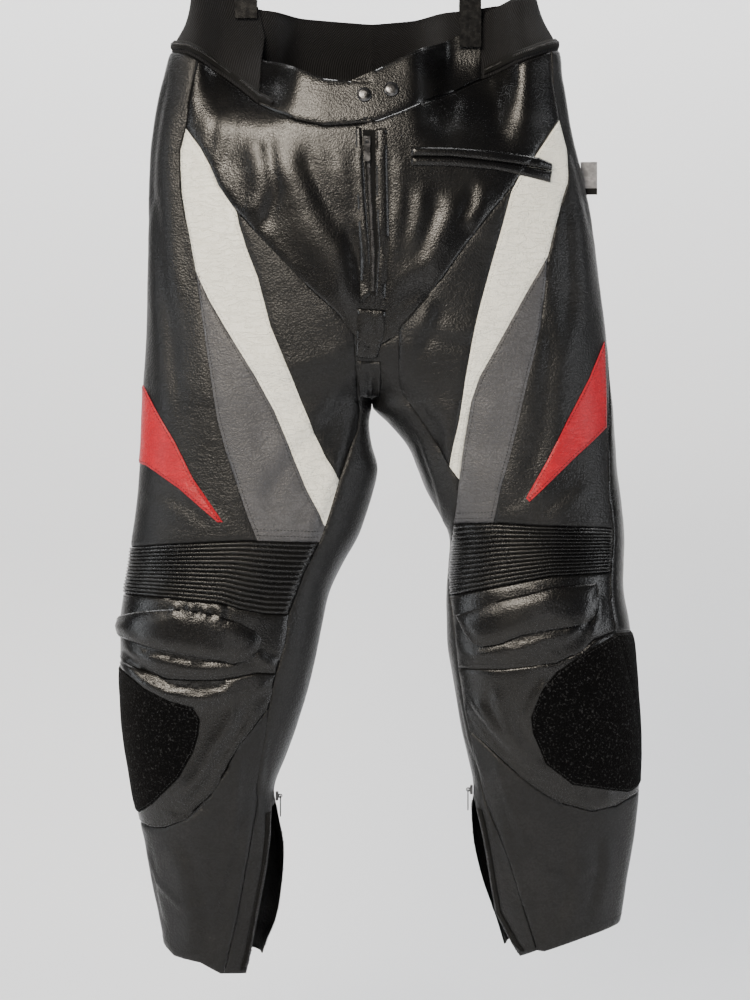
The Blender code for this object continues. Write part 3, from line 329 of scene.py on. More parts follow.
scene_root.objects.link(floor)
pale, tree, shader, where = new_material("pale_floor")
set_inputs(tree, shader, {"Base Color": (0.72, 0.73, 0.75, 1), "Roughness": 0.85})
relief(tree, shader, make_node(tree, "TexNoise", {"Scale": 3.0}).outputs["Fac"], 0.02)
seen_through = make_node(tree, "MixShader", {0: make_node(tree, "NewGeometry").outputs["Backfacing"],
                                             1: shader.outputs["BSDF"],
                                             2: make_node(tree, "BsdfTransparent").outputs["BSDF"]})
tree.links.new(seen_through.outputs["Shader"], tree.nodes["Material Output"].inputs["Surface"])
floor.data.materials.append(pale)
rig.stage(floor)

# %% [markdown]
# ## Shared finishes as node groups
# Cowhide has a pebble grain: small rounded cells of uneven size with thin valleys, over slow
# waves where the hide was thicker. A Voronoi cell pattern gives the pebbles, a second finer noise
# breaks them up, and noise makes the slow waves and the thin level creases. The group puts out
# the height, a mask of worn places and a tone that varies. Every leather uses it with its own
# values.


# %% Leather grain
def build_grain():
    tree, come, go = new_group("leather_grain",
                               [("Place", VECTOR, None), ("Pebble Size", FLOAT, 400.0),
                                ("Crease Amount", FLOAT, 0.5)], ["Height", "Wear", "Tone"])
    place = come.outputs["Place"]
    warp = make_node(tree, "TexNoise", {"Scale": 260.0, "Detail": 1.0, "Vector": place})
    shift = make_node(tree, "VectorMath", {0: warp.outputs["Color"], 1: (0.0022, 0.0022, 0.0022),
                                           2: place}, operation="MULTIPLY_ADD")
    cells = make_node(tree, "TexVoronoi", {"Vector": shift.outputs[0],
                                           "Scale": come.outputs["Pebble Size"]}, feature="F1")
    fine = make_node(tree, "TexNoise", {"Scale": 1500.0, "Detail": 1.0, "Vector": place})
    slow = make_node(tree, "TexNoise", {"Scale": 22.0, "Detail": 4.0, "Vector": place})
    level = make_node(tree, "VectorMath", {0: place, 1: (1.0, 1.0, 2.8)}, operation="MULTIPLY")
    crease = make_node(tree, "TexNoise", {"Scale": 62.0, "Detail": 3.0, "Distortion": 0.5,
                                          "Vector": level.outputs[0]})
    pebble = math_node(tree, "SUBTRACT", 1.0, cells.outputs["Distance"])
    body = math_node(tree, "SUBTRACT", pebble, math_node(tree, "MULTIPLY", fine.outputs["Fac"], 0.25))
    off = math_node(tree, "SUBTRACT", crease.outputs["Fac"], 0.5)
    off = math_node(tree, "ABSOLUTE", math_node(tree, "MULTIPLY", off, 15.0))
    lines = math_node(tree, "MAXIMUM", math_node(tree, "SUBTRACT", 1.0, off), 0.0)
    deep = math_node(tree, "MULTIPLY", lines, come.outputs["Crease Amount"])
    tree.links.new(math_node(tree, "SUBTRACT", body, deep), go.inputs["Height"])
    tree.links.new(ramp_node(tree, slow.outputs["Fac"], [(0.42, 0.0), (0.72, 1.0)]),
                   go.inputs["Wear"])
    waves = math_node(tree, "MULTIPLY", slow.outputs["Fac"], 0.6)
    spots = math_node(tree, "MULTIPLY", cells.outputs["Distance"], 0.5)
    tree.links.new(math_node(tree, "ADD", waves, spots), go.inputs["Tone"])
    return tree


GRAIN = build_grain()
print("group", GRAIN.name, [s.name for s in GRAIN.interface.items_tree])

# %% [markdown]
# Woven and knitted things need two families of lines. The waist rib runs in the cloth's own
# directions, so its group reads the pattern map of the piece, across and down in metres, and
# not the place in space. The same group serves the zip tapes with other spacings.


# %% Weave and rib
def build_weave():
    tree, come, go = new_group("thread_lines",
                               [("Pattern", VECTOR, None), ("Across Pitch", FLOAT, 2.4),
                                ("Down Pitch", FLOAT, 1.2), ("Down Share", FLOAT, 0.35)],
                               ["Height", "Tone"])
    split = make_node(tree, "SeparateXYZ", {0: come.outputs["Pattern"]})
    turns = 2 * math.pi / MM
    across, down = (math_node(tree, "DIVIDE", math_node(tree, "MULTIPLY", split.outputs[axis], turns),
                              come.outputs[pitch])
                    for axis, pitch in (("X", "Across Pitch"), ("Y", "Down Pitch")))
    half = math_node(tree, "MULTIPLY", across, 0.5)
    wales = math_node(tree, "ABSOLUTE", math_node(tree, "SINE", half))
    rows = math_node(tree, "SINE", math_node(tree, "ADD", down, half))
    height = math_node(tree, "ADD", wales, math_node(tree, "MULTIPLY", rows, come.outputs["Down Share"]))
    tree.links.new(height, go.inputs["Height"])
    # Tone follows the height: painted highlight on the crests, painted shade in the hollows
    tree.links.new(math_node(tree, "MULTIPLY", height, 0.7), go.inputs["Tone"])
    return tree


WEAVE = build_weave()
print("group", WEAVE.name)

# %% [markdown]
# ## The leathers
# Each leather is one line of a table with its own colour and gloss. The front hips are the most
# polished hide, the sides are a flatter charcoal, and the white, grey and red are pigmented. Every
# leather is painted darker in the grain's valleys and creases, as painted shade. The shader stays
# in the material and the group only feeds its colour, roughness and bump.


# %% Leather materials
def leather(name, colour, worn, rough, rough_worn, coat, bump, crease, pebble, shine, valley_shade_share):
    made, tree, shader, where = new_material(name)
    grain = make_node(tree, "Group", node_tree=GRAIN)
    set_inputs(tree, grain, {"Pebble Size": pebble, "Crease Amount": crease, "Place": where})
    tinted = mix_colour(tree, grain.outputs["Wear"], colour, worn)
    # Painted shade: the colour is made darker in the grain's valleys and creases
    dark = tuple(c * valley_shade_share for c in colour)
    valley_shade_mask = ramp_node(tree, grain.outputs["Height"], [(0.1, 0.75), (0.5, 0.0)])
    gloss = ramp_node(tree, grain.outputs["Tone"], [(0.25, rough), (0.75, rough_worn)])
    set_inputs(tree, shader, {"Base Color": mix_colour(tree, valley_shade_mask, tinted, dark),
                              "Roughness": gloss, "Coat Weight": coat, "Coat Roughness": 0.25,
                              "Specular IOR Level": shine})
    relief(tree, shader, grain.outputs["Height"], bump, Distance=0.0008)
    return made


# Slot: material, colour, worn colour, roughness, worn roughness, coat, bump, crease, pebble,
# shine and how much of the colour is left where shade is painted into the grain's valleys
LEATHERS = {
    "leather_black": ("glossy_black_leather", (0.0035, 0.0035, 0.004), (0.006, 0.0058, 0.0055),
                      0.2, 0.34, 0.08, 0.28, 0.15, 560.0, 0.36, 0.5),
    "leather_charcoal": ("charcoal_leather", (0.0075, 0.0077, 0.0083), (0.013, 0.013, 0.0135),
                         0.3, 0.46, 0.0, 0.5, 0.3, 430.0, 0.3, 0.5),
    "leather_white": ("white_leather", (0.86, 0.85, 0.76), (0.80, 0.79, 0.71),
                      0.4, 0.54, 0.1, 0.8, 0.9, 430.0, 0.4, 0.93),
    "leather_grey": ("grey_leather", (0.055, 0.055, 0.06), (0.085, 0.085, 0.091),
                     0.4, 0.54, 0.08, 0.6, 0.5, 430.0, 0.45, 0.75),
    "leather_red": ("red_leather", (0.46, 0.0015, 0.012), (0.38, 0.002, 0.013),
                    0.4, 0.54, 0.08, 0.55, 0.7, 430.0, 0.35, 0.7),
}
MATERIALS = {slot: leather(*values) for slot, values in LEATHERS.items()}
print("leathers", sorted(MATERIALS))

# %% [markdown]
# ## Knit, tape, pile, metal and plastic
# The waistband is a heavy rib knit, so its lines stand up and down. The knee patches are the loop
# side of a hook-and-loop fastener: a deep black pile with no gloss, speckled by lint. The metal is
# a dark nickel, brushed by handling. The side tag is grey tape with a black foot.

# %% Other materials
TAG_FOOT = -317.0


def woven(name, colour, crest_highlight_colour, rough, across_pitch, down_pitch, bump, share):
    made, tree, shader, where = new_material(name)
    pattern = make_node(tree, "UVMap", uv_map="pattern")
    lines = make_node(tree, "Group", node_tree=WEAVE)
    set_inputs(tree, lines, {"Across Pitch": across_pitch, "Down Pitch": down_pitch,
                             "Down Share": share, "Pattern": pattern.outputs["UV"]})
    # Painted light and shade: the crests take the lighter colour, the hollows the darker one
    set_inputs(tree, shader, {"Base Color": mix_colour(tree, lines.outputs["Tone"], colour, crest_highlight_colour),
                              "Roughness": rough, "Specular IOR Level": 0.12,
                              "Sheen Weight": 0.03, "Sheen Roughness": 0.5})
    relief(tree, shader, lines.outputs["Height"], bump, Distance=0.0008)
    return made


def pile(name, colour, lint):
    made, tree, shader, where = new_material(name)
    loops = make_node(tree, "TexVoronoi", {"Scale": 900.0, "Vector": where})
    clumps = make_node(tree, "TexNoise", {"Scale": 420.0, "Detail": 4.0, "Vector": where})
    specks = ramp_node(tree, clumps.outputs["Fac"], [(0.56, 0.0), (0.72, 1.0)])
    set_inputs(tree, shader, {"Base Color": mix_colour(tree, specks, colour, lint), "Roughness": 1.0,
                              "Specular IOR Level": 0.03, "Sheen Weight": 0.03})
    height = math_node(tree, "ADD", loops.outputs["Distance"], clumps.outputs["Fac"])
    relief(tree, shader, height, 1.0, Distance=0.001)
    return made


def hard(name, colour, worn, rough, metal, shine, foot=None):
    """A plain or metal finish, worn by handling; foot is the drop below which it is black."""
    made, tree, shader, where = new_material(name)
    handled = make_node(tree, "TexNoise", {"Scale": 180.0, "Detail": 5.0, "Vector": where})
    mask = ramp_node(tree, handled.outputs["Fac"], [(0.4, 0.0), (0.7, 1.0)])
    shade = mix_colour(tree, mask, colour, worn)
    if foot:
        split = make_node(tree, "SeparateXYZ", {0: where})
        low = math_node(tree, "LESS_THAN", split.outputs["Z"], foot * MM)
        shade = mix_colour(tree, low, shade, (0.006, 0.006, 0.006))
    gloss = ramp_node(tree, handled.outputs["Fac"], [(0.3, rough), (0.75, rough + 0.12)])
    set_inputs(tree, shader, {"Base Color": shade, "Roughness": gloss, "Metallic": metal,
                              "Specular IOR Level": shine})
    return made


# The second colour of each is the painted highlight on the rib's crests
MATERIALS["rib_knit"] = woven("rib_knit", (0.003, 0.003, 0.0035), (0.026, 0.026, 0.028),
                              0.85, 2.6, 1.3, 0.9, 0.35)
MATERIALS["zip_tape"] = woven("zip_tape", (0.003, 0.003, 0.003), (0.01, 0.01, 0.01),
                              0.7, 0.8, 0.8, 0.5, 0.8)
MATERIALS["hook_loop"] = pile("hook_loop", (0.0018, 0.0018, 0.002), (0.03, 0.03, 0.031))
# Slot: colour, worn colour, roughness, metal, shine, black foot
HARD = {
    "tag_cloth": ((0.17, 0.17, 0.18), (0.30, 0.30, 0.31), 0.75, 0.0, 0.2, TAG_FOOT),
    "gunmetal": ((0.06, 0.06, 0.063), (0.15, 0.15, 0.155), 0.26, 1.0, 0.5),
    "hanger_plastic": ((0.004, 0.004, 0.0045), (0.006, 0.006, 0.006), 0.2, 0.0, 0.3),
    "hanger_steel": ((0.50, 0.50, 0.52), (0.62, 0.62, 0.63), 0.2, 1.0, 0.5),
    "zip_metal": ((0.045, 0.045, 0.047), (0.10, 0.10, 0.104), 0.34, 1.0, 0.5),
    "thread_dark": ((0.011, 0.011, 0.012), (0.02, 0.02, 0.021), 0.55, 0.0, 0.2),
    "thread_pale": ((0.50, 0.50, 0.46), (0.60, 0.60, 0.55), 0.6, 0.0, 0.2),
}
MATERIALS.update({slot: hard(slot, *values) for slot, values in HARD.items()})
print("materials", sorted(MATERIALS))

# %% [markdown]
# ## The garment's form
# The pants have no stiff shape of their own. They hang as two tubes that open into one at the
# fork, pulled flat at the two clips. Each half is a row of closed sections down its length, and
# any place on it is a share of the way round from the side line and a drop. The seams below are
# the cut lines of the pattern, read where they show.

# %% Sections and seams of the two halves
# Driving dimensions
CENTRE_X = 13.0          # the fly and the crotch hang a little to the right of the hook
CROTCH_DROP = 557.0      # from the hook's crown to the crotch
LEATHER = 1.4            # leather wall
KNIT = 2.0               # waist rib wall
SEAM_GAP = 0.3           # between neighbouring pieces
LIFT = 0.4               # from a panel to what lies on it
SECTION_POWER = 0.85     # a little fuller than an ellipse
SHEET_WIDTH = 230.0      # pattern width that stands for the way from side to centre
RIB_COUNT = 14
RIB_HEIGHT = 1.9
RIB_EASE = 5.0           # the ribs run out over this width before the seams
RIB_FULLNESS = 0.7       # below 1 the ribs are rounder than a sine wave
ON_CENTRE = 0.01         # a place this near the pattern's edge lies on the centre line
CLIP_GRIP = 3.3          # half of the cloth's thickness where a clip holds it
CLIP_REACH = 30.0        # how far from a clip the waist is pulled flat
CLIP_X = {"R": -125.0, "L": 121.0}
CLIP_FOOT = {"R": 131.0, "L": 163.0}
CLIP_EASE = 130.0        # over which the waist opens below a clip
CLIP_BELOW = 4.0         # how far below its foot a clip still holds
CLIP_FLAT = 15.0         # half width that the jaws hold flat
# Sections of the two halves. out and in are measured from the centre plane to the outer and inner
# outline, front and back are the half depths, middle is where the section's centre lies front to
# back, and closing grows from 0, one trunk, to 1, two legs.
SECTION_COLUMNS = ("drop", "R_out", "R_in", "L_out", "L_in", "front", "back", "middle", "closing")
SECTIONS = [
    (90, 196, 0, 176, 0, 44, 42, 0, 0),
    (132, 204, 0, 188, 0, 50, 46, 0, 0),
    (167, 221, 0, 207, 0, 58, 56, 0, 0),
    (200, 229, 0, 210, 0, 66, 66, 0, 0),
    (250, 238, 0, 217, 0, 76, 78, 0, 0),
    (300, 242, 0, 229, 0, 81, 85, 0, 0),
    (350, 244, 0, 240, 0, 83, 87, 0, 0),
    (400, 245, 0, 248, 0, 83, 86, 0, 0),
    (450, 247, 0, 254, 0, 81, 84, 0, 0.06),
    (500, 249, 0, 259, 0, 78, 80, 0, 0.28),
    (530, 251, 0, 262, 0, 75, 77, 0, 0.58),
    (557, 252, 0, 265, 0, 73, 75, 0, 1),
    (575, 253, 3, 266, 18, 72, 74, 0, 1),
    (600, 254, 0, 268, 39, 71, 72, 0, 1),
    (625, 256, -6, 270, 50, 70, 70, -1, 1),
    (650, 258, -1, 273, 60, 69, 67, -2, 1),
    (675, 261, 6, 275, 74, 68, 64, -3, 1),
    (700, 264, 15, 277, 85, 67, 61, -4, 1),
    (730, 267, 32, 277, 84, 67, 58, -6, 1),
    (760, 272, 46, 277, 82, 67, 55, -9, 1),
    (790, 276, 53, 282, 82, 67, 54, -11, 1),
    (820, 276, 59, 286, 83, 66, 54, -12, 1),
    (850, 275, 66, 289, 88, 64, 54, -12, 1),
    (880, 273, 74, 291, 93, 61, 55, -11, 1),
    (910, 271, 83, 293, 98, 58, 55, -9, 1),
    (940, 267, 94, 294, 105, 55, 54, -7, 1),
    (975, 261, 107, 294, 112, 52, 51, -4, 1),
    (1000, 257, 104, 292, 110, 49, 48, -1, 1),
    (1040, 249, 97, 287, 113, 46, 44, 3, 1),
    (1080, 241, 99, 280, 123, 43, 41, 6, 1),
    (1120, 233, 106, 275, 137, 41, 39, 8, 1),
    (1150, 230, 118, 273, 146, 40, 38, 9, 1),
    (1185, 226, 126, 271, 156, 39, 37, 10, 1),
]


def turn(share, drop):
    """A point at a share of the way from the side (0) to the front (1) or back (-1) centre."""
    return ("turn", share, drop)


# Seams of the wearer's right half, from the waist down: (x, drop) on the front, or turn()
SEAMS_R = {
    "waist": [turn(-1, 192), turn(-0.5, 182), turn(-0.1, 168), turn(0, 167), (-190, 172), (-175, 180),
        (-152, 195), (-133, 210), (-110, 230), (-91, 240), (-68, 250), (-38, 257), (-7, 255), turn(1, 253)],
    "knit_top": [turn(-1, 130), turn(-0.6, 121), turn(-0.3, 107), turn(0, 98), (-139, 104), (-112, 118),
        (-105, 150), (-108, 176)],
    "yoke_side": [(-108, 176), (-110, 230)],
    "yoke_top": [(-108, 176), (-90, 182), (-65, 194), (-38, 205), (-10, 208), turn(1, 208)],
    "hip_side": [(-175, 180), (-183, 212), (-187, 233), (-190, 256)],
    "stripe_inner": [(-190, 256), (-174, 277), (-163, 297), (-153, 320), (-140, 339), (-133, 349),
        (-130, 364), (-121, 392), (-110, 420), (-96, 473), (-73, 528), (-53, 578), (-36, 614), (-21, 639)],
    "stripe_outer": [(-190, 256), (-196, 280), (-196, 299), (-194, 328), (-190, 353), (-184, 381),
        (-178, 412), (-163, 444), (-146, 473), (-112, 528), (-92, 564), (-73, 610), (-58, 647), (-37, 689)],
    "hip_foot": [(-133, 349), (-108, 376), (-87, 398), (-53, 434), (-26, 458), (-6, 482), turn(1, 496)],
    "grey_side": [(-178, 412), (-174, 442), (-169, 473), (-161, 528), (-154, 573), (-144, 610), (-133, 642),
        (-120, 680), (-110, 704)],
    "inner": [(-6, 482), (-4, 520), (-1, 551), (1, 564), (-1, 583), (-9, 603), (-21, 639), (-37, 689),
        (-43, 706), (-59, 739), (-69, 766), (-76, 784), (-80, 816), (-90, 848), (-98, 886), (-102, 914),
        (-108, 944), (-111, 970), (-110, 989), (-116, 1022), (-124, 1065), (-133, 1116), (-142, 1151),
        (-148, 1177)],
    "rib_top": [turn(-0.1, 712), (-249, 711), (-191, 707), (-125, 704), (-110, 704), (-43, 706)],
    "rib_foot": [turn(-0.1, 760), (-255, 762), (-202, 766), (-151, 771), (-129, 778), (-102, 783),
        (-76, 784)],
    "band_foot": [turn(-0.1, 832), (-258, 835), (-233, 845), (-209, 854), (-176, 855), (-150, 855),
        (-111, 847), (-90, 848)],
    "cup_foot": [turn(-0.1, 1011), (-239, 1014), (-228, 1018), (-212, 1017), (-189, 1007), (-161, 980),
        (-144, 953), (-131, 926), (-98, 886)],
    "zip": [turn(1, 992), (-95, 995), (-96, 1026), (-100, 1060), (-109, 1106), (-119, 1155), (-124, 1178)],
    "hem": [turn(-1, 1160), turn(-0.5, 1152), turn(-0.1, 1148), (-215, 1150), (-204, 1159), (-174, 1165),
        (-152, 1177), (-148, 1177), (-124, 1178)],
    "side_back": [turn(-0.1, 168), turn(-0.1, 712), turn(-0.1, 760), turn(-0.1, 832), turn(-0.1, 1011),
        turn(-0.1, 1148)],
    "knee_back": [turn(-0.1, 800), turn(-0.5, 808), turn(-1, 802)],
}

# Seams of the wearer's left half
SEAMS_L = {
    "waist": [turn(-1, 192), turn(-0.5, 182), turn(-0.1, 167), turn(0, 165), (210, 169), (199, 173),
        (174, 183), (148, 192), (133, 198), (123, 202), (98, 216), (73, 228), (47, 240), (22, 250),
        turn(1, 253)],
    "knit_top": [turn(-1, 130), turn(-0.6, 121), turn(-0.3, 110), turn(0, 104), (165, 112), (138, 124),
        (132, 146)],
    "yoke_side": [(132, 146), (133, 198)],
    "yoke_top": [(132, 146), (110, 150), (103, 152), (62, 173), (23, 193), turn(1, 198)],
    "hip_side": [(210, 169), (212, 205), (219, 245)],
    "stripe_inner": [(219, 245), (210, 258), (190, 288), (173, 310), (164, 327), (155, 361), (144, 399),
        (131, 446), (124, 473), (114, 528), (107, 575), (97, 624)],
    "stripe_outer": [(219, 245), (224, 262), (227, 276), (226, 315), (219, 342), (211, 370), (204, 396),
        (183, 432), (160, 473), (129, 528), (120, 554), (113, 595), (107, 638)],
    "hip_foot": [(173, 310), (167, 319), (136, 358), (113, 388), (90, 421), (44, 473), (42, 482),
        turn(1, 500)],
    "grey_side": [(204, 396), (201, 430), (196, 473), (182, 528), (172, 573), (162, 613), (151, 652),
        (144, 685)],
    "inner": [(42, 482), (42, 534), (45, 545), (54, 557), (73, 584), (97, 624), (107, 638), (105, 660),
        (101, 686), (99, 712), (97, 740), (98, 764), (101, 785), (103, 812), (106, 843), (112, 880),
        (119, 911), (126, 945), (136, 988), (148, 1019), (163, 1054), (179, 1109), (193, 1152)],
    "rib_top": [turn(0.17, 691), (195, 688), (144, 685), (101, 686)],
    "rib_foot": [turn(0.19, 738), (206, 742), (174, 748), (125, 758), (98, 764)],
    "band_foot": [turn(0.2, 802), (254, 810), (239, 823), (212, 836), (190, 838), (157, 842), (106, 843)],
    "cup_foot": [turn(0.0, 976), (294, 986), (279, 994), (253, 999), (220, 990), (196, 976), (173, 959),
        (148, 937), (119, 911)],
    "zip": [turn(1, 985), (125, 990), (137, 1047), (148, 1112), (165, 1147), (174, 1160)],
    "hem": [turn(-1, 1150), turn(-0.5, 1136), turn(-0.06, 1122), (285, 1125), (244, 1138), (201, 1153),
        (193, 1152), (174, 1160)],
    "side_back": [turn(-0.02, 165), turn(-0.02, 300), turn(0.0, 482), turn(0.05, 528), turn(0.09, 561),
        turn(0.14, 612), turn(0.165, 650), turn(0.17, 691), turn(0.19, 738), turn(0.2, 802),
        turn(0.12, 880), turn(0.0, 976), turn(-0.06, 1060), turn(-0.06, 1122)],
    "knee_back": [turn(0.2, 802), turn(-0.3, 806), turn(-1, 800)],
}
SEAMS = {"R": SEAMS_R, "L": SEAMS_L}

# Panels: slot, and a point well inside on each half, from which the panel spreads to its seams
PANELS = {
    "waist_knit": {"slot": "rib_knit", "R": turn(-0.4, 150), "L": turn(-0.4, 150)},
    "waist_front": {"slot": "leather_black", "R": (-60, 222), "L": (70, 200)},
    "hip_front": {"slot": "leather_black", "R": (-80, 330), "L": (90, 330)},
    "thigh_inner": {"slot": "leather_charcoal", "R": (-60, 500), "L": (75, 520)},
    "stripe_white": {"slot": "leather_white", "R": (-160, 380), "L": (190, 380)},
    "stripe_grey": {"slot": "leather_grey", "R": (-110, 620), "L": (150, 610)},
    "thigh_side": {"slot": "leather_charcoal", "R": (-200, 560), "L": (220, 560)},
    "knee_ribs": {"slot": "leather_black", "R": (-160, 740), "L": (180, 715)},
    "knee_band": {"slot": "leather_black", "R": (-170, 815), "L": (170, 800)},
    "knee_cup": {"slot": "leather_black", "R": (-180, 920), "L": (190, 900)},
    "shin": {"slot": "leather_charcoal", "R": (-180, 1100), "L": (230, 1070)},
    "inner_leg": {"slot": "leather_charcoal", "R": turn(0.97, 860), "L": turn(0.97, 870)},
    "seat": {"slot": "leather_black", "R": turn(-0.5, 500), "L": turn(-0.5, 500)},
    "calf": {"slot": "leather_charcoal", "R": turn(-0.5, 960), "L": turn(-0.5, 960)},
}

# Outlines of the pieces that lie on the panels
OVERLAYS = {
    "R": {
        "accent_red": [turn(-0.07, 534), (-237, 534), (-200, 597), (-180, 637), (-147, 684), (-153, 684),
            (-195, 648), (-233, 622), turn(-0.07, 616)],
        "knee_flap": [turn(-0.03, 790), (-233, 780), (-198, 777), (-163, 781), (-129, 792), (-111, 802),
            (-106, 810), (-109, 820), (-118, 831), (-136, 836), (-163, 832), (-198, 825), (-233, 818),
            (-256, 810), turn(-0.03, 806)],
        "knee_patch": [turn(-0.07, 838), (-252, 847), (-230, 865), (-204, 878), (-180, 884), (-172, 897),
            (-174, 914), (-180, 933), (-196, 961), (-226, 991), (-240, 1001), turn(-0.07, 1000)],
        "ankle_tape": [(-97, 1000), (-97.5, 1026), (-101.5, 1060), (-110.5, 1106), (-120.5, 1155),
            (-125.5, 1174), (-131, 1174), (-126, 1155), (-116, 1106), (-107, 1060), (-103, 1026),
            (-102.5, 1002)],
        "fly_facing": [(-4, 259), (2, 260), (7, 341), (10.5, 388), (10.8, 440), (1, 449), (0, 388),
            (-4, 300)],
    },
    "L": {
        "accent_red": [(267, 486), (249, 528), (223, 575), (201, 619), (179, 658), (183, 662), (204, 642),
            (233, 614), (254, 595), (268, 581), (269, 528)],
        "knee_flap": [(106, 785), (125, 778), (154, 767), (180, 761), (206, 754), (230, 752), (255, 750),
            (257, 758), (255, 779), (248, 791), (230, 796), (198, 800), (174, 805), (150, 815), (133, 818),
            (123, 815), (114, 803)],
        "knee_patch": [(212, 845), (244, 823), (279, 804), turn(-0.05, 803), turn(-0.06, 880),
            turn(-0.05, 964), (292, 978), (230, 968), (201, 945), (187, 911), (185, 894), (196, 864)],
        "ankle_tape": [(128, 996), (138.5, 1047), (149.5, 1112), (166.5, 1146), (174.5, 1155), (180, 1153),
            (172, 1143), (155, 1112), (144, 1047), (133.5, 998)],
        "fly_facing": [(18, 261), (29, 260), (31, 341), (32, 388), (27, 446), (17.5, 440), (21, 388),
            (18, 341)],
        "pocket_upper": [(55, 281), (99, 281), (154, 284), (193, 289), (208, 295), (208, 303), (187, 300),
            (143, 295), (99, 291), (55, 291)],
        "pocket_lower": [(55, 291.4), (99, 291.4), (143, 295.4), (187, 300.4), (208, 303.4), (206, 316),
            (173, 309), (143, 304), (99, 301), (55, 301)],
    },
}

# Pieces that cross the centre, with their outline on each half
BRIDGES = {
    "fly_tape": {
        "R": [turn(1, 262), (3, 262), (8.5, 341), (12, 388), (12, 440), turn(1, 440)],
        "L": [turn(1, 262), (17, 262), (17, 341), (19.5, 388), (16, 440), turn(1, 440)]},
    "fly_tab": {
        "R": [turn(1, 455), (-2, 454), (-3, 480), (-4, 506), turn(1, 507)],
        "L": [turn(1, 455), (28, 456), (26, 482), (19, 506), turn(1, 507)]},
    "crotch_gusset": {
        "R": [turn(1, 511), (-3, 510), (-2, 530), (0, 547), turn(1, 549)],
        "L": [turn(1, 511), (22, 511), (23, 530), (22, 547), turn(1, 549)]},
}
# Slot, thickness at the rim and extra thickness in the middle of each of these pieces
FINISHES = {
    "accent_red": ("leather_red", 1.0, 0.0), "knee_flap": ("leather_black", 2.8, 3.0),
    "knee_patch": ("hook_loop", 1.6, 0.8), "ankle_tape": ("zip_tape", 1.2, 0.0),
    "fly_facing": ("leather_black", 1.3, 0.0), "pocket_upper": ("leather_black", 3.3, 0.0),
    "pocket_lower": ("leather_black", 3.3, 0.0), "waist_zip": ("zip_tape", 2.4, 0.0),
    "fly_tape": ("zip_tape", 0.8, 0.0), "fly_tab": ("leather_black", 2.0, 0.0),
    "crotch_gusset": ("leather_charcoal", 1.6, 0.0),
}
LIFTS = {"waist_zip": 0.8}    # from the panel, where it isn't LIFT
# The end of the front waistband's left piece, which laps over the right one
WAIST_LAP = [turn(1, 198), (-10, 208), (-8, 230), (-5, 252), turn(1, 250)]

# The zip round the waist seam lies on the rib just above the seam
WAIST_ZIP_RISE = (3.0, 12.0)
WAIST_ZIP_ROOM = 2.0     # between its last two points
WAIST_ZIP_END = {"R": (-95, 238), "L": (136, 196)}

# %% Reading the form
SHARE_STEP = 0.004       # the small steps over which directions are measured
DROP_STEP = 1.5
WIDE_STEP = 0.01
AT_CENTRE = 0.0001
NO_LESS = 1e-9           # keeps a division from running over
FAR = 1e9
DROPS = np.array([row[0] for row in SECTIONS], float)
EVERY_MM = np.arange(DROPS[0], DROPS[-1] + 0.5, 1.0)


def smooth(share):
    share = np.clip(share, 0.0, 1.0)
    return share * share * (3.0 - 2.0 * share)


def smooth_column(name):
    """A column of the section table, read every millimetre on a smooth curve through its rows."""
    values = np.array([row[SECTION_COLUMNS.index(name)] for row in SECTIONS], float)
    after = np.append(values[1:], values[-1])
    before = np.insert(values[:-1], 0, values[0])
    reach = np.append(DROPS[1:], DROPS[-1]) - np.insert(DROPS[:-1], 0, DROPS[0])
    slopes = (after - before) / reach
    i = np.clip(np.searchsorted(DROPS, EVERY_MM, "right") - 1, 0, len(DROPS) - 2)
    step = DROPS[i + 1] - DROPS[i]
    f = (EVERY_MM - DROPS[i]) / step
    return ((2 * f**3 - 3 * f**2 + 1) * values[i] + (f**3 - 2 * f**2 + f) * step * slopes[i]
            + (3 * f**2 - 2 * f**3) * values[i + 1] + (f**3 - f**2) * step * slopes[i + 1])


COLUMNS = {name: smooth_column(name) for name in SECTION_COLUMNS[1:]}


def column_at(name, drop):
    return np.interp(drop, EVERY_MM, COLUMNS[name])


def section(side, drop):
    """Centre, half width and half sweep angle of one half's section, at many drops."""
    outer = column_at(side + "_out", drop)
    inner = column_at(side + "_in", drop)
    legs = drop >= CROTCH_DROP
    closing = np.clip(column_at("closing", drop), 0.0, 1.0)
    sweep = np.where(legs, math.pi, np.radians(90.0 + 90.0 * closing))
    half = np.where(legs, (outer - inner) / 2, outer / (1.0 - np.cos(sweep)))
    centre = np.where(legs, (outer + inner) / 2, -half * np.cos(sweep))
    return centre, half, sweep


def surface(side, share, drop):
    """The plain outer face of the garment, in millimetres."""
    share, drop = np.broadcast_arrays(np.asarray(share, float), np.asarray(drop, float))
    centre, half, sweep = section(side, drop)
    angle = share * sweep
    width = centre + half * np.cos(angle)
    bow = np.abs(np.sin(angle)) ** SECTION_POWER
    front = angle >= 0
    depth = np.where(front, -column_at("front", drop), column_at("back", drop)) * bow
    x = CENTRE_X + (width if side == "L" else -width)
    for name, clip_x in CLIP_X.items():
        away = np.maximum(0.0, np.abs(x - clip_x) - CLIP_FLAT) / CLIP_REACH
        hold = np.exp(-away**3) * (1 - smooth((drop - CLIP_FOOT[name] - CLIP_BELOW) / CLIP_EASE))
        depth = depth * (1 - hold) + np.where(front, -CLIP_GRIP, CLIP_GRIP) * hold
    return np.stack([x, depth + column_at("middle", drop), -drop], -1)


def unit(vectors):
    return vectors / np.maximum(NO_LESS, np.linalg.norm(vectors, axis=-1, keepdims=True))


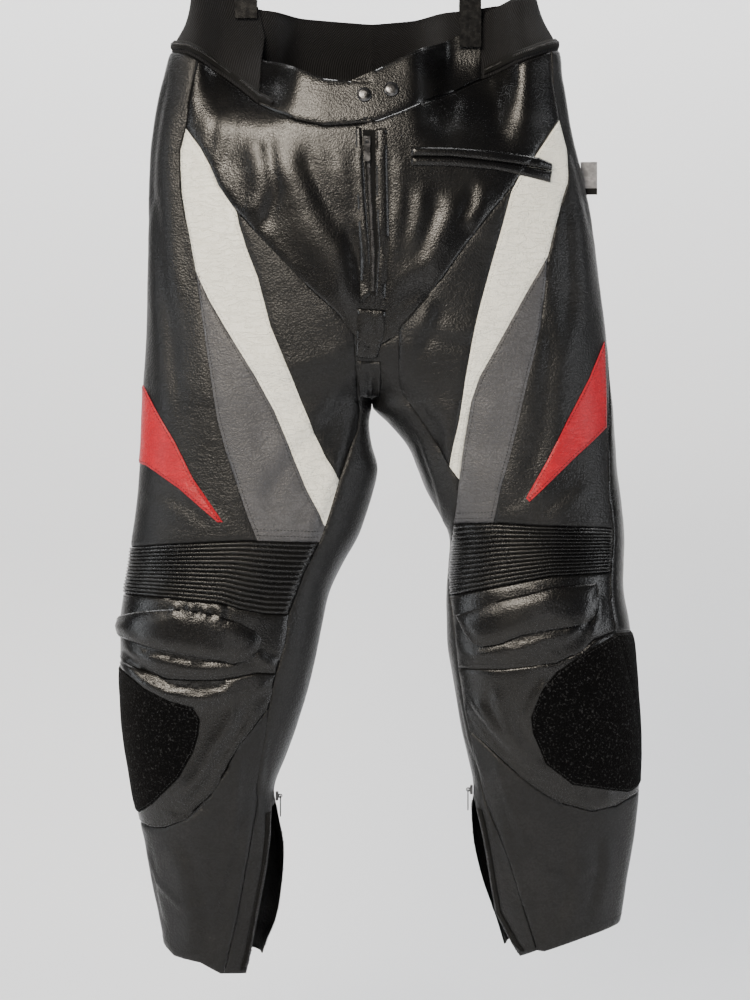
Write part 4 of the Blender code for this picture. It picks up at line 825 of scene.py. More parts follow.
def normal_at(side, share, drop):
    """Outward directions of the face; on the centre line they have no sideways part."""
    share, drop = np.broadcast_arrays(np.asarray(share, float), np.asarray(drop, float))
    along = surface(side, share + SHARE_STEP, drop) - surface(side, share - SHARE_STEP, drop)
    down = surface(side, share, drop + DROP_STEP) - surface(side, share, drop - DROP_STEP)
    if side == "L":
        along = -along
    out = np.cross(down, along)
    flat = np.stack([np.zeros_like(drop), -down[..., 2], down[..., 1]], -1)
    flat = np.where((flat[..., 1] * share > 0)[..., None], -flat, flat)
    centre = (np.abs(share) > 1 - AT_CENTRE) & (drop < CROTCH_DROP)
    return unit(np.where(centre[..., None], flat, out))


def share_of(side, x, drop):
    """Share of the way from the side to the front centre of a point seen at x from the front."""
    centre, half, sweep = (float(v) for v in section(side, np.float64(drop)))
    width = x - CENTRE_X if side == "L" else CENTRE_X - x
    return math.acos(min(1.0, max(-1.0, (width - centre) / half))) / sweep


def on_sheet(side, point):
    """A table point on the flat pattern: width from the side line, and drop."""
    if point[0] == "turn":
        return (point[1] * SHEET_WIDTH, float(point[2]))
    return (share_of(side, point[0], point[1]) * SHEET_WIDTH, float(point[1]))


def split_line(points, step):
    """The same line with no step longer than the given one; its own points stay."""
    out = [points[0]]
    for a, b in zip(points, points[1:]):
        count = max(1, math.ceil(math.dist(a, b) / step))
        out += [(a[0] + (b[0] - a[0]) * k / count, a[1] + (b[1] - a[1]) * k / count)
                for k in range(1, count + 1)]
    return out


def sheet_line(side, points, step):
    """A line drawn on the sheet; a stretch between two front points is straight as seen."""
    out = [on_sheet(side, points[0])]
    for a, b in zip(points, points[1:]):
        if "turn" in (a[0], b[0]):
            part = split_line([on_sheet(side, a), on_sheet(side, b)], step)
        else:
            part = [on_sheet(side, p) for p in split_line([a, b], step)]
        out += part[1:]
    return out


def across_at(line, drop):
    """Width at which a line that runs down the sheet passes a drop."""
    for a, b in zip(line, line[1:]):
        if min(a[1], b[1]) <= drop <= max(a[1], b[1]) and a[1] != b[1]:
            return a[0] + (b[0] - a[0]) * (drop - a[1]) / (b[1] - a[1])
    return line[0][0] if drop < line[0][1] else line[-1][0]


def down_at(line, across):
    """Drop at which a line that runs across the sheet passes a width."""
    places = np.array(sorted(line))
    return np.interp(across, places[:, 0], places[:, 1])


def inside(outline, points):
    """Which of many points lie inside an outline."""
    hit = np.zeros(len(points), bool)
    for (ax, ay), (bx, by) in zip(outline, outline[1:] + outline[:1]):
        if ay == by:
            continue
        crosses = (ay > points[:, 1]) != (by > points[:, 1])
        reach = ax + (points[:, 1] - ay) * (bx - ax) / (by - ay)
        hit ^= crosses & (points[:, 0] < reach)
    return hit


def line_distance(points, line):
    """Distance of many points from a line of any dimension, where along it, from 0 to 1, and on
    a flat line the side: +1 on its right, -1 on its left."""
    points = np.asarray(points, float)
    line = np.asarray(line, float)
    lengths = np.linalg.norm(line[1:] - line[:-1], axis=1)
    starts = np.insert(np.cumsum(lengths), 0, 0.0)
    best = np.full(len(points), FAR)
    along = np.zeros(len(points))
    hand = np.ones(len(points))
    for k, (a, b) in enumerate(zip(line, line[1:])):
        way = b - a
        f = np.clip((points - a) @ way / max(NO_LESS, way @ way), 0.0, 1.0)
        off = points - a - f[:, None] * way
        gap = np.linalg.norm(off, axis=1)
        nearer = gap < best
        best[nearer] = gap[nearer]
        along[nearer] = (starts[k] + f[nearer] * lengths[k]) / starts[-1]
        hand[nearer] = np.sign(way[0] * off[nearer, 1] - way[1] * off[nearer, 0])
    return best, along, hand


print("hip section at 350:", surface("L", [0.0, 0.5, 1.0], [350.0] * 3).round(1).tolist())

# %% [markdown]
# ## Creases
# Leather this thick doesn't wrinkle like cloth. It folds in broad soft rolls with one sharp
# valley beside each. They start where the garment is held: fans below the two clips and the
# waist seam, drag lines from the crotch down the thighs, stacked rolls above the knee band,
# and long slack lines down the shins. Each fold is a line with a width, a height and soft ends,
# and its valley lies on the left of the line as it runs.

# %% Folds, as side: line, width, height
FOLDS = {
    "R": [ ([(-118, 262), (-113, 285), (-106, 328), (-119, 368)], 13, 3.2), ([(-86, 262), (-79, 305),
        (-57, 355), (-29, 408), (-11, 471)], 21, 4.6), ([(-56, 268), (-40, 320), (-20, 378), (-10, 430)],
        10, 1.4), ([(-22, 275), (-16, 340), (-18, 410)], 7, 0.7), ([(-146, 232), (-150, 270), (-160, 305)],
        10, 1.2), ([(-160, 210), (-166, 250), (-172, 290)], 8, 0.8), ([(-205, 205), (-214, 290),
        (-208, 380), (-196, 470)], 17, 2.6), ([(-232, 300), (-226, 420), (-215, 530), (-205, 600)], 15,
        2.0), ([(-6, 492), (-40, 512), (-82, 520), (-120, 508)], 12, 2.4), ([(-8, 520), (-45, 562),
        (-88, 604), (-118, 660)], 14, 2.6), ([(-4, 555), (-22, 610), (-48, 680), (-62, 720)], 8, 2.2),
        ([(-150, 520), (-128, 580), (-118, 640), (-116, 690)], 18, 2.0), ([(-196, 640), (-176, 662),
        (-140, 700)], 9, 1.4), ([(-240, 655), (-200, 672), (-150, 706)], 8, 1.2), ([(-199, 768),
        (-197, 790)], 4.5, 1.6), ([(-182, 768), (-180, 788)], 5, 2.0), ([(-166, 770), (-165, 790)], 4, 1.7),
        ([(-149, 772), (-150, 792)], 5, 1.8), ([(-266, 830), (-251, 843), (-233, 857), (-207, 869),
        (-172, 874), (-145, 869), (-120, 852)], 8, 4.2), ([(-262, 816), (-222, 832), (-180, 841),
        (-140, 842), (-112, 836)], 6, 2.4), ([(-113, 824), (-102, 834), (-88, 838)], 5, 2.6), ([(-98, 858),
        (-112, 866), (-128, 880)], 6, 2.6), ([(-129, 866), (-139, 900), (-160, 932), (-176, 962),
        (-205, 990)], 9, 3.6), ([(-104, 876), (-118, 905), (-142, 936), (-172, 972)], 7, 2.0), ([(-98, 905),
        (-106, 940), (-108, 975)], 6, 1.5), ([(-216, 1004), (-186, 1010), (-150, 996)], 8, 2.0),
        ([(-214, 1030), (-196, 1060), (-184, 1110), (-180, 1160)], 13, 2.4), ([(-118, 1000), (-126, 1050),
        (-138, 1110), (-146, 1160)], 7, 1.8), ([(-236, 1030), (-228, 1080), (-216, 1140)], 9, 1.6),
        ([("turn", 0.02, 180), ("turn", 0.04, 260), ("turn", 0.0, 360)], 12, 1.8), ],
    "L": [ ([(96, 322), (100, 350), (84, 392), (66, 428)], 15, 3.0), ([(134, 316), (132, 342), (116, 372)],
        10, 2.4), ([(64, 316), (66, 352), (58, 398), (46, 440)], 10, 1.8), ([(40, 272), (44, 330),
        (38, 400), (36, 468)], 8, 1.2), ([(120, 214), (112, 244), (104, 272)], 9, 1.1), ([(160, 206),
        (162, 240), (156, 270)], 10, 1.0), ([(90, 228), (84, 252), (76, 272)], 8, 0.9), ([(222, 262),
        (238, 340), (244, 430), (232, 520)], 15, 2.4), ([(212, 430), (222, 500), (214, 590), (190, 668)],
        14, 2.2), ([(46, 480), (72, 470), (112, 480), (150, 470)], 11, 2.2), ([(44, 512), (66, 470),
        (78, 440)], 12, 2.8), ([(46, 536), (70, 540), (92, 574), (104, 630)], 12, 3.0), ([(78, 520),
        (96, 560), (100, 610)], 9, 1.8), ([(140, 540), (134, 600), (128, 660)], 15, 2.0), ([(60, 575),
        (84, 640), (96, 700)], 7, 1.8), ([(210, 640), (180, 668), (152, 684)], 9, 1.4), ([(250, 640),
        (226, 664), (200, 684)], 8, 1.3), ([(104, 822), (125, 828), (174, 820), (222, 806), (252, 790)], 6,
        3.4), ([(106, 833), (150, 834), (200, 822), (238, 806)], 5, 1.8), ([(260, 760), (256, 790),
        (244, 812)], 6, 2.0), ([(118, 868), (128, 884), (146, 906), (174, 934), (212, 964)], 8, 3.4),
        ([(146, 858), (150, 884), (164, 912), (190, 940)], 7, 2.2), ([(208, 850), (190, 872), (180, 895),
        (192, 930)], 7, 2.6), ([(110, 870), (120, 920), (138, 968)], 6, 1.5), ([(222, 984), (250, 992),
        (284, 984)], 8, 2.2), ([(232, 1010), (240, 1050), (236, 1100), (226, 1138)], 12, 2.4),
        ([(150, 1000), (164, 1050), (182, 1110)], 7, 1.8), ([(272, 1020), (270, 1070), (258, 1120)], 9,
        1.6), ([("turn", 0.04, 180), ("turn", 0.06, 270), ("turn", 0.02, 380)], 12, 1.8), ],
}
# Behind, the seat falls slack from the waist, folds under itself and stacks at the back of the knee
BACK_FOLDS = [
    ([(-0.86, 215), (-0.8, 300), (-0.86, 390)], 16, 2.8),
    ([(-0.55, 205), (-0.6, 290), (-0.7, 380), (-0.82, 450)], 18, 3.4),
    ([(-0.3, 200), (-0.33, 310), (-0.42, 420)], 15, 2.4),
    ([(-0.12, 470), (-0.4, 525), (-0.7, 545), (-0.95, 538)], 15, 3.6),
    ([(-0.2, 515), (-0.5, 572), (-0.82, 580)], 12, 2.8),
    ([(-0.9, 560), (-0.76, 640), (-0.7, 720)], 14, 2.4),
    ([(-0.3, 560), (-0.36, 650), (-0.3, 740)], 16, 2.2),
    ([(-0.05, 778), (-0.4, 790), (-0.8, 782)], 9, 3.2),
    ([(-0.0, 822), (-0.4, 828), (-0.88, 818)], 9, 3.4),
    ([(-0.15, 848), (-0.5, 858), (-0.8, 845)], 8, 2.4),
    ([(-0.25, 880), (-0.35, 960), (-0.3, 1050)], 13, 2.4),
    ([(-0.65, 870), (-0.6, 960), (-0.66, 1060)], 14, 2.6),
    ([(-0.85, 930), (-0.82, 1010), (-0.86, 1100)], 10, 1.8),
    ([(-0.45, 1040), (-0.5, 1100), (-0.46, 1145)], 10, 1.8),
]
# The second half's back is the same idea, moved a little so that the two don't match
BACK_MOVES = {"R": (0.0, 0.0, 1.0), "L": (0.035, -9.0, 0.85)}
SHIN_PADS = {
    "R": [(-131, 926), (-131, 961), (-135, 1004), (-142, 1049), (-152, 1082), (-165, 1103), (-196, 1103),
        (-223, 1078), (-232, 1049)],
    "L": [(146, 937), (158, 978), (173, 1014), (187, 1049), (206, 1068), (232, 1071), (263, 1054)],
}
SHIN_PAD_RIDGE = (3.4, 2.3)            # half width and height
FOLD_SIDE_VALLEY = (1.25, 0.5, 0.75)   # how far off the line, how narrow, how deep
FOLD_REACH = 3                         # a fold is worked out this many widths from its line
FOLD_STEP = 5.0
SOFT_END = 0.22                        # share of a fold's length over which it rises
PAD_END = 0.1
# Slackness between the folds, slow and small: length, height and seed
WAVES = ((70.0, 1.5, 3.1), (19.0, 0.32, 11.9))
CENTRE_STILL = 7.0                     # folds fade out this near the centre lines
CLIP_STILL = 26.0                      # folds fade out this far above and below a clip's jaws


def fold_lines(side):
    """All folds of one half, as lines on the sheet and in space, with their width and height."""
    shift, lower, scale = BACK_MOVES[side]
    table = list(FOLDS[side])
    table += [([("turn", a + shift, d + lower) for a, d in line], width, height * scale)
              for line, width, height in BACK_FOLDS]
    lines = []
    for line, width, height in table:
        places = np.array(sheet_line(side, line, FOLD_STEP))
        spots = surface(side, places[:, 0] / SHEET_WIDTH, places[:, 1])
        lines.append((places, spots, width, height))
    return lines


def wave(spots, length, seed):
    """Smooth noise at many places, from -1 to 1."""
    move = Vector((seed, -seed, 0.5 * seed))
    return np.array([noise.noise(Vector(p) / length + move) for p in spots])


def fold_height(side, places):
    """How far the leather stands off the plain form at many places on the sheet."""
    share = np.clip(places[:, 0] / SHEET_WIDTH, -1.0, 1.0)
    spots = surface(side, share, places[:, 1])
    height = np.zeros(len(places))
    for line, path, width, tall in fold_lines(side):
        reach = FOLD_REACH * width
        close = np.all((spots > path.min(0) - reach) & (spots < path.max(0) + reach), axis=1)
        if not close.any():
            continue
        gap, along, _ = line_distance(spots[close], path)
        off = gap * line_distance(places[close], line)[2] / width
        ends = smooth(along / SOFT_END) * smooth((1.0 - along) / SOFT_END)
        where, narrow, deep = FOLD_SIDE_VALLEY
        roll = np.exp(-off**2) - deep * np.exp(-((off + where) / narrow) ** 2)
        height[close] += tall * ends * roll
    height *= smooth((1.0 - np.abs(share)) * SHEET_WIDTH / CENTRE_STILL)
    for length, tall, seed in WAVES:
        height += tall * wave(spots, length, seed)
    pad = np.array(sheet_line(side, SHIN_PADS[side], FOLD_STEP))
    gap, along, _ = line_distance(spots, surface(side, pad[:, 0] / SHEET_WIDTH, pad[:, 1]))
    width, tall = SHIN_PAD_RIDGE
    ends = smooth(along / PAD_END) * smooth((1 - along) / PAD_END)
    height += tall * np.exp(-(gap / width) ** 2) * ends
    return height * stillness(spots)


def stillness(spots):
    """0 in the clips' jaws, 1 where the leather is free."""
    free = np.ones(len(spots))
    for name, clip_x in CLIP_X.items():
        beside = smooth((np.abs(spots[:, 0] - clip_x) - CLIP_FLAT) / CLIP_STILL)
        below = smooth((-spots[:, 2] - CLIP_FOOT[name] - CLIP_BELOW) / CLIP_STILL)
        free *= np.maximum(beside, below)
    return free


print("folds", {side: len(table) + len(BACK_FOLDS) for side, table in FOLDS.items()})

# %% [markdown]
# ## Cutting the panels
# A maker cuts each panel from the hide and sews it to its neighbours along lines that must match.
# Here all seams are drawn on one flat sheet per half and the sheet is cut into triangles, so two
# neighbours share every point of their seam. Rows of points beside each seam let the leather
# dip into the seam and swell beside it.

# %% The fine sheet
GRID_ACROSS = 4.0        # spacing of the points inside a panel
GRID_DOWN = 5.2
LINE_STEP = 4.4          # longest step along a seam
SHORTEST_STEP = 0.6
BESIDE_SEAM = 2.6
CENTRE_LINE = (92.0, 1184.0, 6.0)
RIB_ROWS = 6             # rows of points to a rib
RIB_END_ROOM = 1.6
SEAM_ROOM = 0.7          # nearest that two points may lie, beside a seam
PANEL_ROOM = 2.3         # and inside a panel
NEAR_CELL = 8.0          # cell of the search for neighbours
SAME_POINT = 0.0001
CENTRE_ROOM = (1.0, 2.0) # nearest to the centre line, beside a seam and inside
TOP, FOOT = SECTIONS[0][0], SECTIONS[-1][0]
SEAM_SINK = (2.6, 1.15)  # half width and depth of the valley along a seam


def waist_zip_outline(side):
    """A band just above the waist seam, from the centre back round to the front."""
    seam = sheet_line(side, SEAMS[side]["waist"], LINE_STEP)
    end = on_sheet(side, WAIST_ZIP_END[side])[0]
    seam = [p for p in seam if p[0] < end - WAIST_ZIP_ROOM] + [(end, float(down_at(seam, end)))]
    low, high = WAIST_ZIP_RISE
    return [(a, d - high) for a, d in seam] + [(a, d - low) for a, d in reversed(seam)]


def beside_points(line):
    """Points on both sides of a drawn line."""
    out = []
    for a, b in zip(line, line[1:]):
        way = np.subtract(b, a)
        length = math.hypot(*way)
        if length >= SHORTEST_STEP:
            step = np.array([-way[1], way[0]]) / length * BESIDE_SEAM
            middle = np.add(a, b) / 2
            out += [tuple(middle + step), tuple(middle - step)]
    return out


class Sheet:
    """One half's pattern, as fine triangles between its seams."""

    def __init__(self, side):
        self.side = side
        self.points, self.index, self.edges, self.beside = [], {}, [], []
        self.cuts = set()
        for line in SEAMS[side].values():
            drawn = sheet_line(side, line, LINE_STEP)
            self.draw(drawn, True)
            self.beside += beside_points(drawn)
        for end in (-1, 1):
            middle = [(end * SHEET_WIDTH, d) for d in CENTRE_DROPS]
            self.draw(middle, True)
            self.beside += [(a - end * BESIDE_SEAM, d) for a, d in middle]
        self.outlines = {}
        for name, points in OVERLAYS[side].items():
            self.outline(name, points)
        for name, halves in BRIDGES.items():
            self.outline(name, halves[side])
        self.draw_outline("waist_zip", waist_zip_outline(side))
        if side == "R":
            self.outline("waist_lap", WAIST_LAP)
        self.rib_lines()
        self.fill()
        self.lift(self.cut())

    def draw(self, line, cuts):
        """A line of points; one that cuts is a seam between two panels."""
        ids = []
        for a, d in line:
            key = (round(a, 2) + 0.0, round(d, 2))
            if key not in self.index:
                self.index[key] = len(self.points)
                self.points.append(key)
            ids.append(self.index[key])
        for a, b in zip(ids, ids[1:]):
            if a != b:
                if cuts:
                    self.cuts.add(len(self.edges))
                self.edges.append((a, b))

    def outline(self, name, points):
        self.draw_outline(name, sheet_line(self.side, points + points[:1], LINE_STEP)[:-1])

    def draw_outline(self, name, points):
        """An outline; its stretch along the centre line is already drawn."""
        self.outlines[name] = points
        for a, b in zip(points, points[1:] + points[:1]):
            if min(a[0], b[0]) < SHEET_WIDTH - ON_CENTRE:
                line = split_line([a, b], LINE_STEP)
                self.draw(line, False)
                self.beside += beside_points(line)

    def rib_frame(self):
        """The knee ribs' place: top and foot lines, and the seams at both ends."""
        return [sheet_line(self.side, SEAMS[self.side][name], GRID_ACROSS)
                for name in ("rib_top", "rib_foot", "side_back", "inner")]

    def rib_lines(self):
        """Lines drawn along the knee ribs, so that no triangle spans from one to the next but one."""
        top, foot, start, end = self.rib_frame()
        rows = RIB_COUNT * RIB_ROWS
        columns = np.arange(-SHEET_WIDTH, SHEET_WIDTH, GRID_ACROSS)
        for f in (r / rows for r in range(1, rows)):
            drops = (1 - f) * down_at(top, columns) + f * down_at(foot, columns)
            self.draw([(a, d) for a, d in zip(columns.tolist(), drops.tolist())
                       if across_at(start, d) + RIB_END_ROOM < a < across_at(end, d) - RIB_END_ROOM],
                      False)

    def fill(self):
        """Points beside the seams and over the panels, clear of what is drawn."""
        near = {}

        def cell(a, d):
            return (int(a // NEAR_CELL), int(d // NEAR_CELL))

        def keep(a, d):
            near.setdefault(cell(a, d), []).append((a, d))

        def is_free(a, d, room):
            i, j = cell(a, d)
            around = (p for m in (-1, 0, 1) for n in (-1, 0, 1) for p in near.get((i + m, j + n), ()))
            return all(math.dist(p, (a, d)) >= room for p in around)

        for a, d in self.points:
            keep(a, d)
        for a, d in self.beside:
            if abs(a) < SHEET_WIDTH - CENTRE_ROOM[0] and TOP < d < FOOT and is_free(a, d, SEAM_ROOM):
                keep(a, d)
                self.points.append((a, d))
        columns = int(2 * SHEET_WIDTH / GRID_ACROSS)
        for r in range(1, int((FOOT - TOP) / GRID_DOWN)):
            for c in range(1, columns):
                a = -SHEET_WIDTH + 2 * SHEET_WIDTH * (c + 0.5 * (r % 2)) / columns
                d = TOP + GRID_DOWN * r
                if a < SHEET_WIDTH - CENTRE_ROOM[1] and is_free(a, d, PANEL_ROOM):
                    self.points.append((a, d))

    def cut(self):
        """The sheet cut into triangles; each panel spreads from its seed to the seams around it."""
        verts, edges, faces, _, from_edges, _ = delaunay_2d_cdt(
            [Vector(p) for p in self.points], self.edges, [], 0, SAME_POINT)
        self.places = np.array([(v.x, v.y) for v in verts])
        self.faces = np.array(faces)
        self.middles = self.places[self.faces].mean(1)
        walls = {frozenset(e) for e, source in zip(edges, from_edges)
                 if any(s in self.cuts for s in source)}
        across = {}
        for f, face in enumerate(faces):
            for i in range(3):
                across.setdefault(frozenset((face[i], face[i - 1])), []).append(f)
        self.panel = np.full(len(faces), "", dtype=object)
        for name, panel in PANELS.items():
            seed = np.array(on_sheet(self.side, panel[self.side]))
            gaps = np.linalg.norm(self.middles - seed, axis=1)
            waiting = [int(np.argmin(gaps))]
            while waiting:
                f = waiting.pop()
                if not self.panel[f]:
                    self.panel[f] = name
                    sides = (frozenset((faces[f][i], faces[f][i - 1])) for i in range(3))
                    waiting += [g for key in sides if key not in walls for g in across[key]]
        return walls

    def lift(self, walls):
        """Every point of the sheet set on the hanging form, with its folds and sunk seams."""
        share = np.clip(self.places[:, 0] / SHEET_WIDTH, -1.0, 1.0)
        plain = surface(self.side, share, self.places[:, 1])
        self.out = normal_at(self.side, share, self.places[:, 1])
        on_seam = np.unique(np.array([tuple(w) for w in walls]).ravel())
        spots = self.places[on_seam]
        on_seam = on_seam[(spots[:, 0] < SHEET_WIDTH - ON_CENTRE) | (spots[:, 1] > CROTCH_DROP)]
        tree = kdtree.KDTree(len(on_seam))
        for i, v in enumerate(on_seam):
            tree.insert(plain[v], i)
        tree.balance()
        seam_gap = np.array([tree.find(p)[2] for p in plain])
        width, deep = SEAM_SINK
        sink = deep * np.exp(-(seam_gap / width) ** 2) * stillness(plain)
        height = fold_height(self.side, self.places)
        self.face = plain + self.out * (height - sink)[:, None]

    def chosen(self, name):
        """Numbers of the triangles of a panel or of what lies inside an outline."""
        if name in self.outlines:
            held = (self.panel != "") | (name == "waist_lap")
            return np.nonzero(inside(self.outlines[name], self.middles) & held)[0]
        return np.nonzero(self.panel == name)[0]


# The centre line has a point wherever a seam or an outline meets it
CENTRE_DROPS = set(np.arange(*CENTRE_LINE).round(2).tolist())
for table in [SEAMS_R, SEAMS_L, {"lap": WAIST_LAP}] + list(BRIDGES.values()):
    for line in table.values():
        CENTRE_DROPS |= {float(p[2]) for p in line if p[0] == "turn" and p[1] == 1}
CENTRE_DROPS = sorted(CENTRE_DROPS)
sheets = {side: Sheet(side) for side in "RL"}
for side, made in sheets.items():
    print("sheet", side, len(made.places), "points", len(made.faces), "triangles",
          "panels", len(set(made.panel)) - 1)

# %% [markdown]
# ## Sewing the pieces up as thin shells
# Every piece is a wall of leather 1.4 mm thick that follows the folds, drawn back a little from
# its seam lines so that the seams show as fine dark gaps. Pieces that lie on others, such as the
# knee flaps, are cut from the same points and stand a little off the panel below, so they follow
# its folds too. Laid flat, each piece's size is read from the real length of the way round.

# %% Real width on the flat pattern
SHARES = np.linspace(-1.0, 1.0, 161)
SMALLEST_WIDTH = 0.0101
THIN_SHARE = 0.45               # a piece that fills less of its rectangle is a narrow band


def girth_table(side):
    """Length of the way round from the side line, for every millimetre of drop and each share."""
    grid = surface(side, SHARES[None, :], EVERY_MM[:, None])
    steps = np.linalg.norm(np.diff(grid, axis=1), axis=2)
    run = np.concatenate([np.zeros((len(EVERY_MM), 1)), np.cumsum(steps, 1)], 1)
    return run - run[:, [len(SHARES) // 2]]


GIRTHS = {side: girth_table(side) for side in sheets}


def unrolled(side, places):
    """Flat pattern places in real millimetres: way round from the side line, and drop."""
    row = np.clip((places[:, 1] - EVERY_MM[0]).round().astype(int), 0, len(EVERY_MM) - 1)
    at = np.clip(places[:, 0] / SHEET_WIDTH, -1.0, 1.0) * (len(SHARES) // 2) + len(SHARES) // 2
    low = np.clip(at.astype(int), 0, len(SHARES) - 2)
    f = at - low
    table = GIRTHS[side]
    return np.stack([table[row, low] * (1 - f) + table[row, low + 1] * f, places[:, 1]], -1)


def flat_size(flat, faces):
    """Width, length and area, in metres, of the smallest rectangle a piece can be cut from."""
    a, b, c = (flat[faces[:, k]] for k in range(3))
    area = np.abs((b - a)[:, 0] * (c - a)[:, 1] - (b - a)[:, 1] * (c - a)[:, 0]).sum() / 2
    sizes = []
    for turned in np.radians(np.arange(0, 90, 3)):
        way = np.array([math.cos(turned), math.sin(turned)])
        sizes.append(sorted((np.ptp(flat @ way), np.ptp(flat @ np.array([-way[1], way[0]])))))
    width, length = min(sizes, key=lambda size: size[0] * size[1])
    if area < THIN_SHARE * width * length:
        width = area / length
    return max(SMALLEST_WIDTH, width * MM), length * MM, area * MM * MM


# %% Building a piece
EDGE_ROUND = 2.6         # a piece's edge is round over this width
RIM_BULGE = 0.12         # the rim stands out this far between the two faces
LONGEST_PULL = 1.2       # a sharp corner is drawn back no further than this
SHARPEST = 0.02
SHARP_FOLD = math.radians(62)
made_pieces = {}
FLAT_SIZES = {}


def add_item(name, mesh, material, slot, replaced=()):
    """An object of the mesh that rides on the root body, with its material and slot."""
    mesh.materials.append(MATERIALS[material])
    item = bpy.data.objects.new(name, mesh)
    scene_root.objects.link(item)
    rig.ride(item, "root")
    if replaced:
        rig.replaces(item, *replaced)
    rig.slot(item, slot)
    return item


def gather(name):
    """Points, directions, places and triangles of a piece, joined across the centre line."""
    base, half = name.rsplit("_", 1)
    chosen = [(side, base) for side in ("RL" if half == "C" else half)]
    if name == "waist_front_L":
        chosen.append(("R", "waist_lap"))
    rows, faces, index = [], [], {}
    for side, piece in chosen:
        sheet = sheets[side]
        flat = unrolled(side, sheet.places)
        if len(chosen) > 1:
            centre = unrolled(side, np.stack([np.full(len(flat), SHEET_WIDTH), flat[:, 1]], -1))
            flat[:, 0] = (centre[:, 0] - flat[:, 0]) * (1 if side == "R" else -1)
        for face in sheet.faces[sheet.chosen(piece)]:
            corner = []
            for v in face:
                a, d = sheet.places[v]
                on_centre = abs(a) > SHEET_WIDTH - ON_CENTRE and d < CROTCH_DROP
                key = ("centre" if on_centre else side, round(a, 2), round(d, 2))
                if key not in index:
                    index[key] = len(rows)
                    rows.append((*sheet.face[v], *sheet.out[v], a, d, *flat[v]))
                corner.append(index[key])
            faces.append(corner)
    table, faces = np.array(rows), np.array(faces)
    points, outs, places, flats = table[:, :3], table[:, 3:6], table[:, 6:8], table[:, 8:]
    a, b, c = (points[faces[:, k]] for k in range(3))
    facing = (np.cross(b - a, c - a) * outs[faces].sum(1)).sum(1)
    faces[facing < 0] = faces[facing < 0][:, ::-1]
    return points, outs, places, flats, faces


def rim_of(points, outs, faces):
    """Edges with a triangle on one side only, the step that draws each of their corners back,
    and the direction in which each corner bulges."""
    edges = {(int(f[i]), int(f[(i + 1) % 3])) for f in faces for i in range(3)}
    rim = sorted(e for e in edges if (e[1], e[0]) not in edges)
    pulls = {}
    for a, b in rim:
        way = points[b] - points[a]
        for v in (a, b):
            pulls.setdefault(v, []).append(unit(np.cross(outs[v], way)))
    shift = np.zeros_like(points)
    bulge = {}
    for v, sides in pulls.items():
        total = np.sum(sides, 0)
        step = total * (SEAM_GAP / 2) * len(sides) / 2 / max(SHARPEST, 0.5 * total @ total)
        shift[v] = step * min(1.0, LONGEST_PULL / max(NO_LESS, np.linalg.norm(step)))
        bulge[v] = -unit(total) * RIM_BULGE
    return rim, shift, bulge


def build(name, material, wall, top, floor_height=None):
    """A closed wall. top gives the outer face's height over the panel, one number for each point;
    with floor_height the inner face lies at that height, else it follows the outer one."""
    points, outs, places, flats, faces = gather(name)
    rim, shift, bulge = rim_of(points, outs, faces)
    shift[(np.abs(places[:, 0]) > SHEET_WIDTH - ON_CENTRE) & (places[:, 1] < CROTCH_DROP)] = 0.0
    heights = top(name, places, points)
    outer = points + shift + outs * heights[:, None]
    low = heights - wall if floor_height is None else np.full(len(points), floor_height)
    inner = points + shift + outs * low[:, None]
    count = len(points)
    rim_points = sorted(bulge)
    rim_index = {v: 2 * count + i for i, v in enumerate(rim_points)}
    edge = np.array([0.5 * (outer[v] + inner[v]) + bulge[v] for v in rim_points])
    polygons = faces.tolist() + (faces[:, ::-1] + count).tolist()
    for a, b in rim:
        ra, rb = rim_index[a], rim_index[b]
        polygons += [[b, a, ra, rb], [rb, ra, a + count, b + count]]
    mesh = bpy.data.meshes.new(name)
    mesh.from_pydata((np.concatenate([outer, inner, edge]) * MM).tolist(), [], polygons)
    mesh.update()
    pattern = mesh.uv_layers.new(name="pattern")
    where = np.concatenate([flats, flats, flats[rim_points]]) * MM
    corners = np.zeros(len(mesh.loops), int)
    mesh.loops.foreach_get("vertex_index", corners)
    pattern.data.foreach_set("uv", where[corners].ravel())
    mesh.shade_smooth()
    mesh.set_sharp_from_angle(angle=SHARP_FOLD)
    FLAT_SIZES[name] = flat_size(flats, faces)
    made_pieces[name] = add_item(name + "_skin", mesh, material, material, [name])


# %% Panels
def no_rise(name, places, points):
    return np.zeros(len(points))


def yoke_rise(name, places, points):
    return np.full(len(points), LIFT + LEATHER)


def rib_rise(name, places, points):
    """Waves of the knee ribs, which run out before the seams."""
    top, foot, start_line, end_line = sheets[name[-1]].rib_frame()
    f = (places[:, 1] - down_at(top, places[:, 0])) / (
        down_at(foot, places[:, 0]) - down_at(top, places[:, 0]))
    start, end = (np.array([across_at(line, d) for d in places[:, 1]]) for line in (start_line, end_line))
    ease = np.clip(np.minimum(places[:, 0] - start, end - places[:, 0]) / RIB_EASE, 0.0, 1.0)
    wave_up = 0.5 - 0.5 * np.cos(2 * math.pi * (RIB_COUNT * np.clip(f, 0.0, 1.0)))
    return RIB_HEIGHT * ease * wave_up ** RIB_FULLNESS


RISES = {"knee_ribs_R": rib_rise, "knee_ribs_L": rib_rise, "waist_front_L": yoke_rise}
for side in sheets:
    for base, panel in PANELS.items():
        name = base + "_" + side
        wall = KNIT if base == "waist_knit" else LEATHER
        build(name, panel["slot"], wall, RISES.get(name, no_rise))
print("panels", len(made_pieces))

